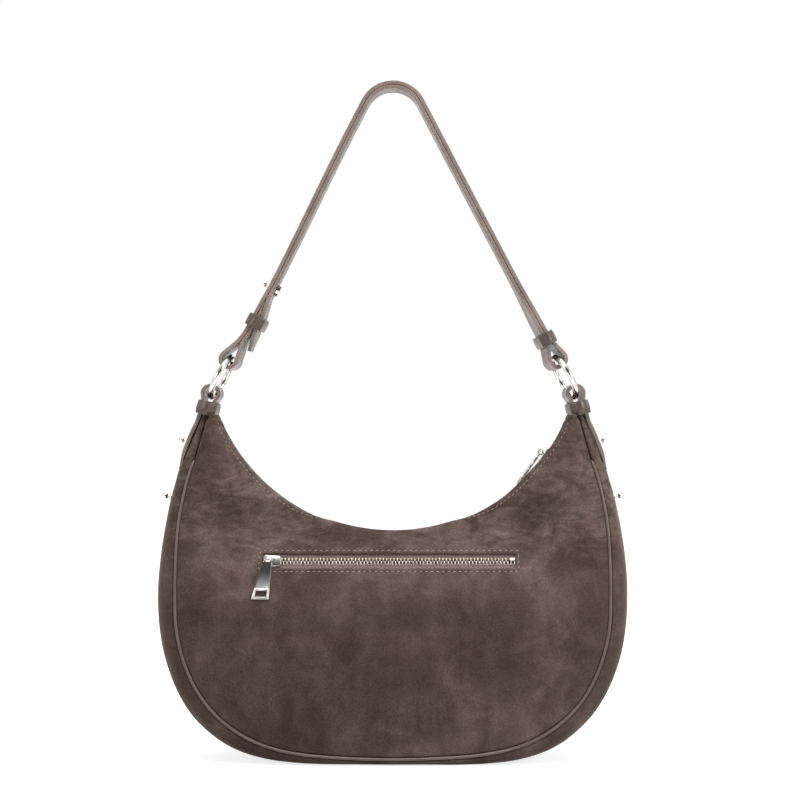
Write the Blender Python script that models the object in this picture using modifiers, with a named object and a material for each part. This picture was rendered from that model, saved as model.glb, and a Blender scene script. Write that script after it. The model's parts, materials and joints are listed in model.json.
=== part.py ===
"""Half-moon crossbody bag: a suede body with a piped gusset, a zipped mouth, a zipped back pocket,
and one long leather strap that hangs on two rings.

Metres, +Z up. The back panel with the pocket faces -Y, and the origin is the middle of the base.
Points in the plane of the bag are (x, z) pairs, and side is 1 on the right and -1 on the left.
"""
import math

import bmesh
import bpy
from mathutils import Matrix, Vector

# Body
BODY_WIDTH = 0.340
BODY_DEPTH = 0.080
HORN_HEIGHT = 0.246
HORN_DEPTH = 0.024
MOUTH_HEIGHT = 0.161
BELLY_BULGE = 0.006
SUEDE = 0.0018
LINING = 0.0008
LINING_GAP = 0.0011
FIT_GAP = 0.0003
SEAM_GAP = 0.0004
PIPING_RADIUS = 0.0011
BOARD_LENGTH = 0.130
BOARD_WIDTH = 0.046
BOARD_THICKNESS = 0.002
BOARD_SEAT = 0.0007
BODY_HALF = BODY_WIDTH / 2
HALF_DEPTH = BODY_DEPTH / 2
HORN_HALF = HORN_DEPTH / 2

# Half outline from the top of a horn to the middle of the base. Each row has the seam's x and z,
# the gusset's outermost x and z, the depth between horn and belly, and how square the gusset is.
OUTLINE_SHARES = (
    (0.788, 0.996, 0.807, 1.000, 0.000, 1.0),
    (0.808, 0.943, 0.850, 0.939, 0.036, 1.0),
    (0.831, 0.886, 0.884, 0.878, 0.107, 1.0),
    (0.862, 0.821, 0.919, 0.817, 0.214, 1.0),
    (0.885, 0.748, 0.948, 0.748, 0.339, 1.0),
    (0.901, 0.667, 0.973, 0.663, 0.482, 1.0),
    (0.906, 0.577, 0.992, 0.573, 0.625, 1.0),
    (0.906, 0.488, 1.000, 0.486, 0.750, 1.0),
    (0.899, 0.394, 0.993, 0.390, 0.857, 1.0),
    (0.868, 0.301, 0.968, 0.293, 0.929, 1.0),
    (0.812, 0.215, 0.916, 0.195, 0.964, 1.0),
    (0.732, 0.144, 0.832, 0.112, 0.982, 1.2),
    (0.624, 0.087, 0.703, 0.043, 1.000, 1.4),
    (0.500, 0.050, 0.547, 0.008, 1.000, 1.8),
    (0.353, 0.030, 0.365, -0.004, 1.000, 2.2),
    (0.176, 0.021, 0.176, -0.004, 1.000, 2.5),
    (0.000, 0.018, 0.000, -0.004, 1.000, 2.5),
)
MOUTH_END_X_SHARE = 0.7365
MOUTH_END_Z_SHARE = 0.990
BELLY_RISE_SHARE = 0.62
PANEL_ROW_SHARE = 1.7
NORMAL_STEP_SHARE = 0.002

# Back pocket
POCKET_HEIGHT = 0.1425
POCKET_CENTRE = -0.0024
POCKET_LENGTH = 0.1804
POCKET_OPENING = 0.0105
POCKET_TILT = math.radians(24.0)
POCKET_DEPTH_SHARE = 0.40
POCKET_MARGIN = 0.016
POCKET_FADE = 0.034
POCKET_EDGE_SHARE = 0.055
POUCH_SPACE = 0.009
POUCH_FALL = 0.078
POUCH_RISE = 0.011
POUCH_SIDE = 0.004
POUCH_GAP = 0.0024
POUCH_SEAT = 0.0011
POUCH_SLOPE = 0.0020

# Zips
TAPE = 0.0008
TAPE_WIDTH = 0.0067
CHAIN_WIDTH = 0.0021
CHAIN_THICKNESS = 0.0026
CHAIN_PARTING = 0.0016
ZIP_DEPTH = 0.0015
POCKET_TAPE_WIDTH = 0.0070
SLIDER_LENGTH = 0.0128
SLIDER_WIDTH = 0.0088
SLIDER_PLATE = 0.0015
SLIDER_PLAY = 0.0005
SLIDER_LIP = 0.0003
SLIDER_WEB = 0.0010
BAIL_SPAN = 0.0066
BAIL_BAR = 0.0014
BAIL_RISE = 0.0018
BAIL_SINK = 0.0005
BAIL_SHIFT = 0.0030
EYE_PLAY = 0.0003
EYE_WALL = 0.0009
EYE_WIDTH = 0.0030
PULL_LENGTH = 0.0290
PULL_TOP_WIDTH = 0.0066
PULL_END_WIDTH = 0.0124
PULL_THICKNESS = 0.0018
PULL_LEAN = math.radians(9.5)
PULL_NECK = 0.0019
PULL_WINDOW_LENGTH = 0.0044
PULL_RIM = 0.0017
END_TAB_LENGTH = 0.0085
STOP_LENGTH = 0.0042
TOP_ZIP_SHARE = 0.915
TOP_SLIDER_REST_SHARE = 0.80852

# Leather strap, loops and keepers
LEATHER = 0.0026
RUN_GAP = 0.0004
STRAP_WIDTH = 0.0190
STRAP_TOP = 0.4875
CROWN_RADIUS = 0.0252
LOOP_HOLE_RADIUS = 0.0046
LOOP_DROP = 0.0020
LOOP_NECK = 0.0130
FOLD_END = 0.0330
TAIL_MERGE = 0.0500
TAIL_PARTS = 0.0260
TAIL_END = 0.0100
TAIL_SPREAD = 0.0040
TAIL_TAPER_SHARE = 0.45
STRAP_STUD_PLACE = 0.0583
LEG_BOW = 0.0030
LEG_BOW_RISE = 0.0240
LEG_BOW_KEEP = 0.0550
LEG_BOW_FADE = 0.1400
BEND_SETBACK = 0.0040
LEFT_KEEPER_PLACE = 0.0310
RIGHT_KEEPER_PLACE = 0.0145
STRAP_KEEPER_LENGTH = 0.0090
STRAP_KEEPER_WALL = 0.0017
KEEPER_PLAY = 0.0005
RIGHT_KEEPER_PLAY = 0.0015
KEEPER_TURN_SHARE = 0.8
KEEPER_BULGE = 0.0008
KEEPER_CORNER = 0.0014

# Horn loops, rings and studs
RING_RADIUS = 0.0160
RING_WIRE = 0.0022
HORN_TILT = math.radians(14.5)
HORN_CENTRE_SHARE = 0.795
HORN_KEEPER_LENGTH = 0.0095
HORN_KEEPER_WIDTH = 0.0145
HORN_KEEPER_WALL = 0.0016
HORN_KEEPER_GAP = 0.0006
HORN_ARM_PLAY = 0.0005
HORN_KEEPER_PLAY = 0.0012
TAB_WIDTH = 0.0170
TAB_GAP = 0.0004
TAB_INNER_GAP = 0.0012
TAB_INNER_SHARE = 0.5
RING_SEAT = 0.0040
TAB_FOOT_SHARE = 0.081
TAB_TOP_SHARE = 0.012
TAB_INNER_TOP_SHARE = 0.030
TAB_INNER_FOOT_SHARE = 0.055
TAB_POINTS = 6
RING_TURNS = {-1: math.radians(-5.7), 1: math.radians(10.0)}
HORN_TURN_SHARE = 0.5
HORN_TURN_FADE = 0.0080
TURN_KEEP = 0.0100
TURN_FADE = 0.0600
UPPER_STUD_SHARE = 0.042
LOWER_STUD_SHARE = 0.1206
STUD_BALL = 0.0022
BALL_STEPS = 5
STUD_NECK = 0.0014
STUD_NECK_LENGTH = 0.0008
LOWER_STUD_NECK_LENGTH = 0.0016
LOWER_SCREW_GAP = 0.0008
STUD_SHANK = 0.0012
STUD_COLLAR = 0.0026
STUD_COLLAR_THICKNESS = 0.0007
STUD_DISC = 0.0036
STUD_DISC_THICKNESS = 0.0018
STRAP_DISC = 0.0046
STRAP_DISC_THICKNESS = 0.0024
SHANK_PLAY = 0.0003

# Mesh fineness
GIRTH_COLUMNS = 36
PANEL_ROWS = 8
GUSSET_ROWS = 8
LINING_END_COLUMNS = 2
GUSSET_LINING_SHARE = 0.75
MOUTH_SEGMENTS = 28
END_TAB_SEGMENTS = 2
ROUND_STEPS = 12
RING_SEGMENTS = 36
WIRE_SEGMENTS = 10
ARC_STEP = math.radians(11.0)
LEG_STEP = 0.012
SEARCH_STEPS = 30
POUCH_COLUMNS = 14
POUCH_ROWS = 8
CORNER_STEPS = 3
MERGE = 0.00001
CUT_OVERRUN = 0.004


def clear_scene():
    for item in list(bpy.data.objects):
        bpy.data.objects.remove(item, do_unlink=True)


def new_collection(name):
    collection = bpy.data.collections.new(name)
    bpy.context.scene.collection.children.link(collection)
    return collection


def new_material(name, colour, roughness, metallic):
    material = bpy.data.materials.new(name)
    material.use_nodes = True
    shader = material.node_tree.nodes["Principled BSDF"]
    shader.inputs["Base Color"].default_value = (*colour, 1)
    shader.inputs["Roughness"].default_value = roughness
    shader.inputs["Metallic"].default_value = metallic
    return material


clear_scene()
BAG = new_collection("crossbody_bag")
CUTTERS = new_collection("cutters")


def suede(name):
    return new_material(name, (0.102, 0.064, 0.050), 0.95, 0)


def leather(name):
    return new_material(name, (0.150, 0.107, 0.095), 0.55, 0)


def lining_cloth(name):
    return new_material(name, (0.070, 0.050, 0.045), 0.85, 0)


def zip_tape(name):
    return new_material(name, (0.180, 0.125, 0.110), 0.85, 0)


def board_grey(name):
    return new_material(name, (0.060, 0.055, 0.050), 0.80, 0)


def nickel(name):
    return new_material(name, (0.650, 0.640, 0.620), 0.22, 1)


def lerp(a, b, share):
    return a + (b - a) * share


def smooth_share(value):
    value = min(max(value, 0), 1)
    return value * value * (3 - 2 * value)


def catmull_rom(rows, place):
    """Value of a smooth curve through rows, at place from 0 to 1."""
    last = len(rows) - 1
    index = min(int(place * last), last - 1)
    part = place * last - index
    before, after = rows[max(index - 1, 0)], rows[min(index + 2, last)]
    here, there = rows[index], rows[index + 1]
    return tuple(
        b + (c - a + (2 * a - 5 * b + 4 * c - d + (3 * b - a - 3 * c + d) * part) * part) * part / 2
        for a, b, c, d in zip(before, here, there, after)
    )


def whole_outline():
    """The outline's rows from the left horn round the base to the right horn."""
    left = [(-row[0], row[1], -row[2], *row[3:]) for row in OUTLINE_SHARES]
    return left + list(reversed(OUTLINE_SHARES[:-1]))


OUTLINE = whole_outline()
MOUTH_END = (BODY_HALF * MOUTH_END_X_SHARE, HORN_HEIGHT * MOUTH_END_Z_SHARE)
MOUTH_RISE = MOUTH_END[1] - MOUTH_HEIGHT
MOUTH_RADIUS = (MOUTH_END[0] ** 2 + MOUTH_RISE**2) / (2 * MOUTH_RISE)
MOUTH_CENTRE_Z = MOUTH_HEIGHT + MOUTH_RADIUS
MOUTH_ANGLE = math.atan2(MOUTH_END[0], MOUTH_CENTRE_Z - MOUTH_END[1])
POCKET_DEPTH = lerp(HORN_HALF, HALF_DEPTH, POCKET_DEPTH_SHARE)


def station(u):
    """Seam point, side point, half depth and squareness of the gusset at u, from left to right."""
    seam_x, seam_z, side_x, side_z, depth, square = catmull_rom(OUTLINE, u)
    seam = Vector((seam_x * BODY_HALF, seam_z * HORN_HEIGHT))
    side = Vector((side_x * BODY_HALF, side_z * HORN_HEIGHT))
    return seam, side, lerp(HORN_HALF, HALF_DEPTH, depth), square


def mouth_point(angle, inset=0):
    """Point on the mouth's arc at an angle from straight down, and inset below the edge."""
    radius = MOUTH_RADIUS + inset
    return Vector((radius * math.sin(angle), MOUTH_CENTRE_Z - radius * math.cos(angle)))


def pocket_share(x, z, v):
    """How far a panel point belongs to the flat field round the pocket."""
    beyond_x = abs(x - POCKET_CENTRE) - POCKET_LENGTH / 2 - POCKET_MARGIN
    beyond_z = abs(z - POCKET_HEIGHT) - POCKET_MARGIN
    flat = smooth_share(1 - beyond_x / POCKET_FADE) * smooth_share(1 - beyond_z / POCKET_FADE)
    return flat * smooth_share(v / POCKET_EDGE_SHARE)


def panel_depth(u, v, x, z, half_depth):
    swell = BELLY_BULGE * math.sin(math.pi * v)
    free = lerp(HORN_HALF, half_depth, v**BELLY_RISE_SHARE) + swell
    flat = POCKET_DEPTH + (POCKET_HEIGHT - z) * math.tan(POCKET_TILT)
    return lerp(free, flat, pocket_share(x, z, v))


def panel_surface(u, v):
    """Outer face of the back panel, from the mouth at v 0 to the piped seam at v 1."""
    seam, _, half_depth, _ = station(u)
    mouth = mouth_point(lerp(-MOUTH_ANGLE, MOUTH_ANGLE, u))
    point = mouth.lerp(seam, v)
    return Vector((point.x, -panel_depth(u, v, point.x, point.y, half_depth), point.y))


def panel_edge_share(u, clearance):
    """Share of the way from mouth to seam that stays a clearance short of the seam."""
    seam = station(u)[0]
    mouth = mouth_point(lerp(-MOUTH_ANGLE, MOUTH_ANGLE, u))
    return clearance / (seam - mouth).length


def gusset_surface(u, turn):
    """Outer face of the gusset, with turn from -1 at the back seam to 1 at the front seam."""
    seam, side, half_depth, square = station(u)
    bulge = (side - seam).length
    lift = (PIPING_RADIUS + SEAM_GAP) / bulge
    reach = math.acos(min(lift, 1) ** square)
    angle = reach * turn
    out = max(math.cos(angle), 0) ** (1 / square)
    across = math.copysign(abs(math.sin(angle)) ** (1 / square), turn)
    point = seam.lerp(side, out)
    return Vector((point.x, half_depth * across, max(point.y, 0)))


def offset_point(surface, a, b, distance):
    """Point off a surface by distance, on the side that the two directions' cross product shows."""
    step = NORMAL_STEP_SHARE
    low_a, high_a = max(a - step, 0), min(a + step, 1)
    along = surface(high_a, b) - surface(low_a, b)
    across = surface(a, b + step) - surface(a, b - step)
    return surface(a, b) + along.cross(across).normalized() * distance


def link_mesh(name, bm, material, smooth=True):
    mesh = bpy.data.meshes.new(name)
    bm.to_mesh(mesh)
    bm.free()
    item = bpy.data.objects.new(name, mesh)
    BAG.objects.link(item)
    mesh.materials.append(material)
    if smooth:
        mesh.shade_smooth()
    return item


def sheet(name, columns, rows, place, thickness, material):
    """A shell: a grid laid over place(a, b) for a and b from 0 to 1, thickened inwards."""
    bm = bmesh.new()
    bmesh.ops.create_grid(bm, x_segments=columns, y_segments=rows, size=1)
    for vert in bm.verts:
        vert.co = place((vert.co.x + 1) / 2, (vert.co.y + 1) / 2)
    item = link_mesh(name, bm, material)
    solidify = item.modifiers.new("Thickness", "SOLIDIFY")
    solidify.thickness = thickness
    solidify.offset = -1
    solidify.use_even_offset = True
    solidify.use_quality_normals = True
    return item


def make_cutter(name, bm):
    mesh = bpy.data.meshes.new(name)
    bmesh.ops.recalc_face_normals(bm, faces=bm.faces)
    bm.to_mesh(mesh)
    bm.free()
    item = bpy.data.objects.new(name, mesh)
    CUTTERS.objects.link(item)
    item.hide_render = True
    item.display_type = "WIRE"
    return item


def cut(item, cutter):
    boolean = item.modifiers.new("Cut " + cutter.name, "BOOLEAN")
    boolean.operation = "DIFFERENCE"
    boolean.object = cutter


def box(size, matrix):
    bm = bmesh.new()
    bmesh.ops.create_cube(bm, size=1)
    bmesh.ops.scale(bm, vec=size, verts=bm.verts)
    bmesh.ops.transform(bm, matrix=matrix, verts=bm.verts)
    return bm


def flat_box(name, size, matrix, material):
    return link_mesh(name, box(size, matrix), material, smooth=False)


def rod(radius, length, matrix):
    bm = bmesh.new()
    bmesh.ops.create_cone(
        bm, cap_ends=True, segments=ROUND_STEPS, radius1=radius, radius2=radius, depth=length
    )
    bmesh.ops.transform(bm, matrix=matrix, verts=bm.verts)
    return bm


def frame_matrix(origin, x_axis, y_axis):
    """Matrix of a right-handed frame from its origin and its first two directions."""
    x_axis = x_axis.normalized()
    z_axis = x_axis.cross(y_axis).normalized()
    y_axis = z_axis.cross(x_axis)
    matrix = Matrix((x_axis, y_axis, z_axis)).transposed().to_4x4()
    matrix.translation = origin
    return matrix


def facing_matrix(origin, direction):
    """Matrix whose Z axis points along direction, with X kept level."""
    direction = direction.normalized()
    level = Vector((0, 1, 0)).cross(direction)
    return frame_matrix(origin, level, direction.cross(level))


def extruded(name, outlines, half_height, material, matrix):
    """A flat outline, with any further outlines as holes, extruded both ways along local Z."""
    curve = bpy.data.curves.new(name, "CURVE")
    curve.dimensions = "2D"
    curve.fill_mode = "BOTH"
    curve.extrude = half_height
    for outline in outlines:
        spline = curve.splines.new("POLY")
        spline.points.add(len(outline) - 1)
        for point, (x, y) in zip(spline.points, outline):
            point.co = (x, y, 0, 1)
        spline.use_cyclic_u = True
    item = bpy.data.objects.new(name, curve)
    BAG.objects.link(item)
    curve.materials.append(material)
    item.matrix_world = matrix
    return item


def as_mesh(item):
    """The same curve object as a welded mesh, in the same place."""
    bpy.context.view_layer.update()
    graph = bpy.context.evaluated_depsgraph_get()
    mesh = bpy.data.meshes.new_from_object(item.evaluated_get(graph))
    bm = bmesh.new()
    bm.from_mesh(mesh)
    bmesh.ops.remove_doubles(bm, verts=bm.verts, dist=MERGE)
    bmesh.ops.recalc_face_normals(bm, faces=bm.faces)
    bm.to_mesh(mesh)
    bm.free()
    name, matrix = item.name, item.matrix_world.copy()
    bpy.data.objects.remove(item, do_unlink=True)
    solid = bpy.data.objects.new(name, mesh)
    mesh.name = name
    BAG.objects.link(solid)
    solid.matrix_world = matrix
    return solid


def joined(item, cutter):
    """Joins a helper solid to an object by a Boolean union."""
    union = item.modifiers.new("Join " + cutter.name, "BOOLEAN")
    union.operation = "UNION"
    union.object = cutter


def turned(name, profile, material, matrix):
    """A turned piece from (radius, height) points, top to bottom, about local Z."""
    bm = bmesh.new()
    verts = [bm.verts.new((radius, 0, height)) for radius, height in profile]
    for first, second in zip(verts, verts[1:]):
        bm.edges.new((first, second))
    item = link_mesh(name, bm, material)
    item.matrix_world = matrix
    screw = item.modifiers.new("Turn", "SCREW")
    screw.axis = "Z"
    screw.steps = ROUND_STEPS
    screw.render_steps = ROUND_STEPS
    screw.use_merge_vertices = True
    screw.merge_threshold = MERGE
    return item


def arc_points(centre, radius, start, end):
    count = max(round(abs(end - start) / ARC_STEP), 2)
    angles = [lerp(start, end, index / count) for index in range(count + 1)]
    return [Vector((centre[0] + radius * math.cos(a), centre[1] + radius * math.sin(a))) for a in angles]


def softened(points, setback):
    """A path with each bend sharper than an arc's step rounded off."""
    result = [points[0]]
    for before, corner, after in zip(points, points[1:], points[2:]):
        arriving, leaving = corner - before, after - corner
        if arriving.angle(leaving) < ARC_STEP * 1.2:
            result.append(corner)
            continue
        start = corner - arriving.normalized() * min(setback, arriving.length / 2)
        end = corner + leaving.normalized() * min(setback, leaving.length / 2)
        for share in (0, 0.25, 0.5, 0.75, 1):
            result.append(start.lerp(corner, share).lerp(corner.lerp(end, share), share))
    return result + [points[-1]]


def strip(name, path, half_width, material, place):
    """A leather strip along a path, where place(index, point, y) gives each of its points in space."""
    bm = bmesh.new()
    bmesh.ops.create_grid(bm, x_segments=len(path) - 1, y_segments=1, size=1)
    bm.verts.ensure_lookup_table()
    for vert in bm.verts:
        index = round((vert.co.x + 1) / 2 * (len(path) - 1))
        vert.co = place(index, path[index], half_width * vert.co.y)
    item = link_mesh(name, bm, material)
    solidify = item.modifiers.new("Thickness", "SOLIDIFY")
    solidify.thickness = LEATHER
    solidify.offset = 0
    solidify.use_even_offset = True
    return item


def spatial(point, y=0):
    return Vector((point[0], y, point[1]))


def horn_point(side, along, out):
    """Point by its distance along a horn's axis from its keeper's centre, and outwards from it."""
    x = HORN_KEEPER_CENTRE[0] + out * math.cos(HORN_TILT) - along * math.sin(HORN_TILT)
    z = HORN_KEEPER_CENTRE[1] + out * math.sin(HORN_TILT) + along * math.cos(HORN_TILT)
    return Vector((side * x, z))


HORN_KEEPER_HALF = HORN_KEEPER_LENGTH / 2
HORN_KEEPER_CENTRE = (
    BODY_HALF * HORN_CENTRE_SHARE - HORN_KEEPER_HALF * math.sin(HORN_TILT),
    HORN_HEIGHT + HORN_KEEPER_GAP + HORN_KEEPER_HALF * math.cos(HORN_TILT),
)
RING_FOOT = horn_point(1, HORN_KEEPER_HALF + RING_SEAT, 0)
RUN_OFFSET = (LEATHER + RUN_GAP) / 2
STRAP_HALF_STACK = RUN_OFFSET + LEATHER / 2
CROWN_CENTRE_Z = STRAP_TOP - CROWN_RADIUS
CROWN_LINE_RADIUS = CROWN_RADIUS - STRAP_HALF_STACK
CROWN_REACH = math.hypot(RING_FOOT[0], CROWN_CENTRE_Z - RING_FOOT[1])
LEG_ANGLE = math.atan2(CROWN_CENTRE_Z - RING_FOOT[1], RING_FOOT[0]) + math.asin(
    CROWN_LINE_RADIUS / CROWN_REACH
)
LEG_LENGTH = math.sqrt(CROWN_REACH**2 - CROWN_LINE_RADIUS**2) - 2 * RING_RADIUS


def leg_bow(side, along):
    """How far the strap hangs inwards of a straight leg, which only the left leg does."""
    if side > 0:
        return 0
    return LEG_BOW * smooth_share(along / LEG_BOW_RISE) * (1 - smooth_share((along - LEG_BOW_KEEP) / LEG_BOW_FADE))


def leg_point(side, along, out):
    """Point by its distance up a strap leg from the ring's top wire, and outwards from the leg."""
    reach = along + 2 * RING_RADIUS
    out -= leg_bow(side, along)
    x = RING_FOOT[0] - reach * math.cos(LEG_ANGLE) + out * math.sin(LEG_ANGLE)
    z = RING_FOOT[1] + reach * math.sin(LEG_ANGLE) + out * math.cos(LEG_ANGLE)
    return Vector((side * x, z))


def leg_direction(side):
    return Vector((-side * math.cos(LEG_ANGLE), 0, math.sin(LEG_ANGLE)))


def leg_turn(side, along):
    """How far the strap is twisted about its leg: fully at the ring, and not at all higher up."""
    return RING_TURNS[side] * (1 - smooth_share((along - TURN_KEEP) / TURN_FADE))


def along_leg(side, point):
    offset = spatial(point) - spatial(leg_point(side, 0, 0))
    return offset.dot(leg_direction(side))


def rolled(point, origin, axis, angle):
    return Matrix.Rotation(angle, 3, axis) @ (point - origin) + origin


def build_panels():
    inset = PIPING_RADIUS + SEAM_GAP

    def row_share(u, b):
        return b**PANEL_ROW_SHARE * (1 - panel_edge_share(u, inset))

    def back(a, b):
        return panel_surface(a, row_share(a, 1 - b))

    def front(a, b):
        point = back(1 - a, b)
        return Vector((point.x, -point.y, point.z))

    back_panel = sheet(
        "back_panel", GIRTH_COLUMNS, PANEL_ROWS, back, SUEDE, suede("back suede")
    )
    window = (POCKET_LENGTH, POCKET_OPENING, CUT_OVERRUN * 2)
    cut(back_panel, make_cutter("pocket_window", box(window, POCKET_FRAME)))
    sheet("front_panel", GIRTH_COLUMNS, PANEL_ROWS, front, SUEDE, suede("front suede"))


def build_gusset():
    def outer(a, b):
        return gusset_surface(a, 1 - 2 * b)

    return sheet("gusset", GIRTH_COLUMNS, GUSSET_ROWS, outer, SUEDE, suede("gusset suede"))


def build_piping(name, front):
    curve = bpy.data.curves.new(name, "CURVE")
    curve.dimensions = "3D"
    curve.bevel_depth = PIPING_RADIUS
    curve.bevel_resolution = 1
    curve.use_fill_caps = True
    spline = curve.splines.new("POLY")
    spline.points.add(GIRTH_COLUMNS)
    for index, point in enumerate(spline.points):
        seam, _, half_depth, _ = station(index / GIRTH_COLUMNS)
        point.co = (seam.x, half_depth * front, seam.y, 1)
    item = bpy.data.objects.new(name, curve)
    BAG.objects.link(item)
    curve.materials.append(leather(name + " leather"))


POCKET_FRAME = frame_matrix(
    Vector((POCKET_CENTRE, -POCKET_DEPTH, POCKET_HEIGHT)),
    Vector((1, 0, 0)),
    Vector((0, math.sin(POCKET_TILT), math.cos(POCKET_TILT))),
)
ZIP_RADIUS = MOUTH_RADIUS + ZIP_DEPTH
ZIP_CENTRE = ZIP_DEPTH + TAPE / 2
CHAIN_INNER = CHAIN_PARTING / 2
CHAIN_OUTER = CHAIN_INNER + CHAIN_WIDTH
POCKET_CHAIN_DEPTH = SUEDE + FIT_GAP + TAPE / 2


def pouch_field(x, z):
    """1 over the pouch behind the pocket and 0 away from it."""
    beyond_x = abs(x - POCKET_CENTRE) - POCKET_LENGTH / 2 - POUCH_SIDE - LINING
    above = z - POCKET_HEIGHT - POUCH_RISE
    below = POCKET_HEIGHT - POUCH_FALL - z
    inside = smooth_share(1 - beyond_x / POCKET_FADE)
    return inside * smooth_share(1 - above / POCKET_FADE) * smooth_share(1 - below / POCKET_FADE)


def panel_at(x, z):
    """Outer face of the back panel at a place in the plane of the bag."""
    place = Vector((x, z))
    low, high = 0, 1
    for _ in range(SEARCH_STEPS):
        u = (low + high) / 2
        mouth = mouth_point(lerp(-MOUTH_ANGLE, MOUTH_ANGLE, u))
        reach = station(u)[0] - mouth
        beyond = reach.x * (place.y - mouth.y) - reach.y * (place.x - mouth.x)
        low, high = (u, high) if beyond > 0 else (low, u)
    return panel_surface(u, (place - mouth).length / reach.length)


def build_linings():
    top = ZIP_DEPTH + TAPE + LINING_GAP
    foot = PIPING_RADIUS + SEAM_GAP + SUEDE + LINING_GAP + LINING
    behind_pouch = POUCH_SPACE + LINING + POUCH_GAP - SUEDE - LINING_GAP
    end = LINING_END_COLUMNS / GIRTH_COLUMNS
    reach = GUSSET_LINING_SHARE

    def inner(u, b):
        low = panel_edge_share(u, top)
        v = lerp(low, 1 - panel_edge_share(u, foot), b**PANEL_ROW_SHARE)
        return v, offset_point(panel_surface, u, v, SUEDE + LINING_GAP)

    def back(a, b):
        u = lerp(end, 1 - end, a)
        v, point = inner(u, 1 - b)
        field = pouch_field(point.x, point.z) * smooth_share(v / POCKET_EDGE_SHARE)
        return point + Vector((0, behind_pouch * field, 0))

    def front(a, b):
        u = lerp(end, 1 - end, 1 - a)
        _, point = inner(u, 1 - b)
        return Vector((point.x, -point.y, point.z))

    def gusset(a, b):
        u = lerp(end, 1 - end, a)
        return offset_point(gusset_surface, u, (1 - 2 * b) * reach, SUEDE + LINING_GAP)

    columns, rows = GIRTH_COLUMNS - 2 * LINING_END_COLUMNS, PANEL_ROWS
    sheet("back_lining", columns, rows, back, LINING, lining_cloth("back lining"))
    sheet("front_lining", columns, rows, front, LINING, lining_cloth("front lining"))
    rows = round(GUSSET_ROWS * GUSSET_LINING_SHARE)
    return sheet("gusset_lining", columns, rows, gusset, LINING, lining_cloth("gusset lining"))


def build_board():
    floor = SUEDE + LINING_GAP + LINING + BOARD_SEAT
    centre = Matrix.Translation((0, 0, floor + BOARD_THICKNESS / 2))
    size = (BOARD_LENGTH, BOARD_WIDTH, BOARD_THICKNESS)
    flat_box("base_board", size, centre, board_grey("board"))


def build_pouch():
    """The pocket's cloth: a tray behind the window, sewn all round to the back of the panel."""
    half = POCKET_LENGTH / 2 + POUCH_SIDE
    seat = (SUEDE + POUCH_SEAT) / math.cos(POCKET_TILT)

    def spread(share, low, high, count):
        """Even places between low and high, with the outermost cells narrowed to a wall."""
        index = round(share * count)
        if index in (0, count):
            return (low, True) if index == 0 else (high, True)
        inner_share = (index - 1) / (count - 2)
        return lerp(low + POUCH_SLOPE, high - POUCH_SLOPE, inner_share), False

    def place(a, b):
        x, at_side = spread(a, POCKET_CENTRE - half, POCKET_CENTRE + half, POUCH_COLUMNS)
        low, high = POCKET_HEIGHT - POUCH_FALL, POCKET_HEIGHT + POUCH_RISE
        z, at_end = spread(b, low, high, POUCH_ROWS)
        depth = seat if at_side or at_end else POUCH_SPACE
        return panel_at(x, z) + Vector((0, depth, 0))

    cloth = lining_cloth("pouch cloth")
    sheet("pocket_pouch", POUCH_COLUMNS, POUCH_ROWS, place, LINING, cloth)


def arc_sheet(name, angles, y_range, inset, thickness, material, segments=MOUTH_SEGMENTS):
    """A strip on the mouth's arc, between two angles and two depths, and inset below the edge."""

    def place(a, b):
        return spatial(mouth_point(lerp(*angles, a), inset), lerp(*y_range, b))

    return sheet(name, segments, 1, place, thickness, material)


def build_top_zip():
    reach = MOUTH_ANGLE * TOP_ZIP_SHARE
    inner = CHAIN_OUTER + FIT_GAP
    chain_inset = ZIP_DEPTH + TAPE / 2 - CHAIN_THICKNESS / 2
    for name, front in (("back", -1), ("front", 1)):
        tape = sorted((front * inner, front * (inner + TAPE_WIDTH)))
        chain = sorted((front * CHAIN_INNER, front * CHAIN_OUTER))
        angles = (-reach, reach)
        arc_sheet(f"top_zip_{name}_tape", angles, tape, ZIP_DEPTH, TAPE, zip_tape(name + " tape"))
        material = nickel(name + " teeth")
        arc_sheet(f"top_zip_{name}_teeth", angles, chain, chain_inset, CHAIN_THICKNESS, material)
    start = reach + FIT_GAP / ZIP_RADIUS
    end = start + END_TAB_LENGTH / ZIP_RADIUS
    half = inner + TAPE_WIDTH
    for name, angles in (("left", (-end, -start)), ("right", (start, end))):
        material = leather(name + " end tab")
        spread = (-half, half)
        ends = END_TAB_SEGMENTS
        arc_sheet(f"{name}_zip_end_tab", angles, spread, ZIP_DEPTH, TAPE, material, ends)


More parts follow.
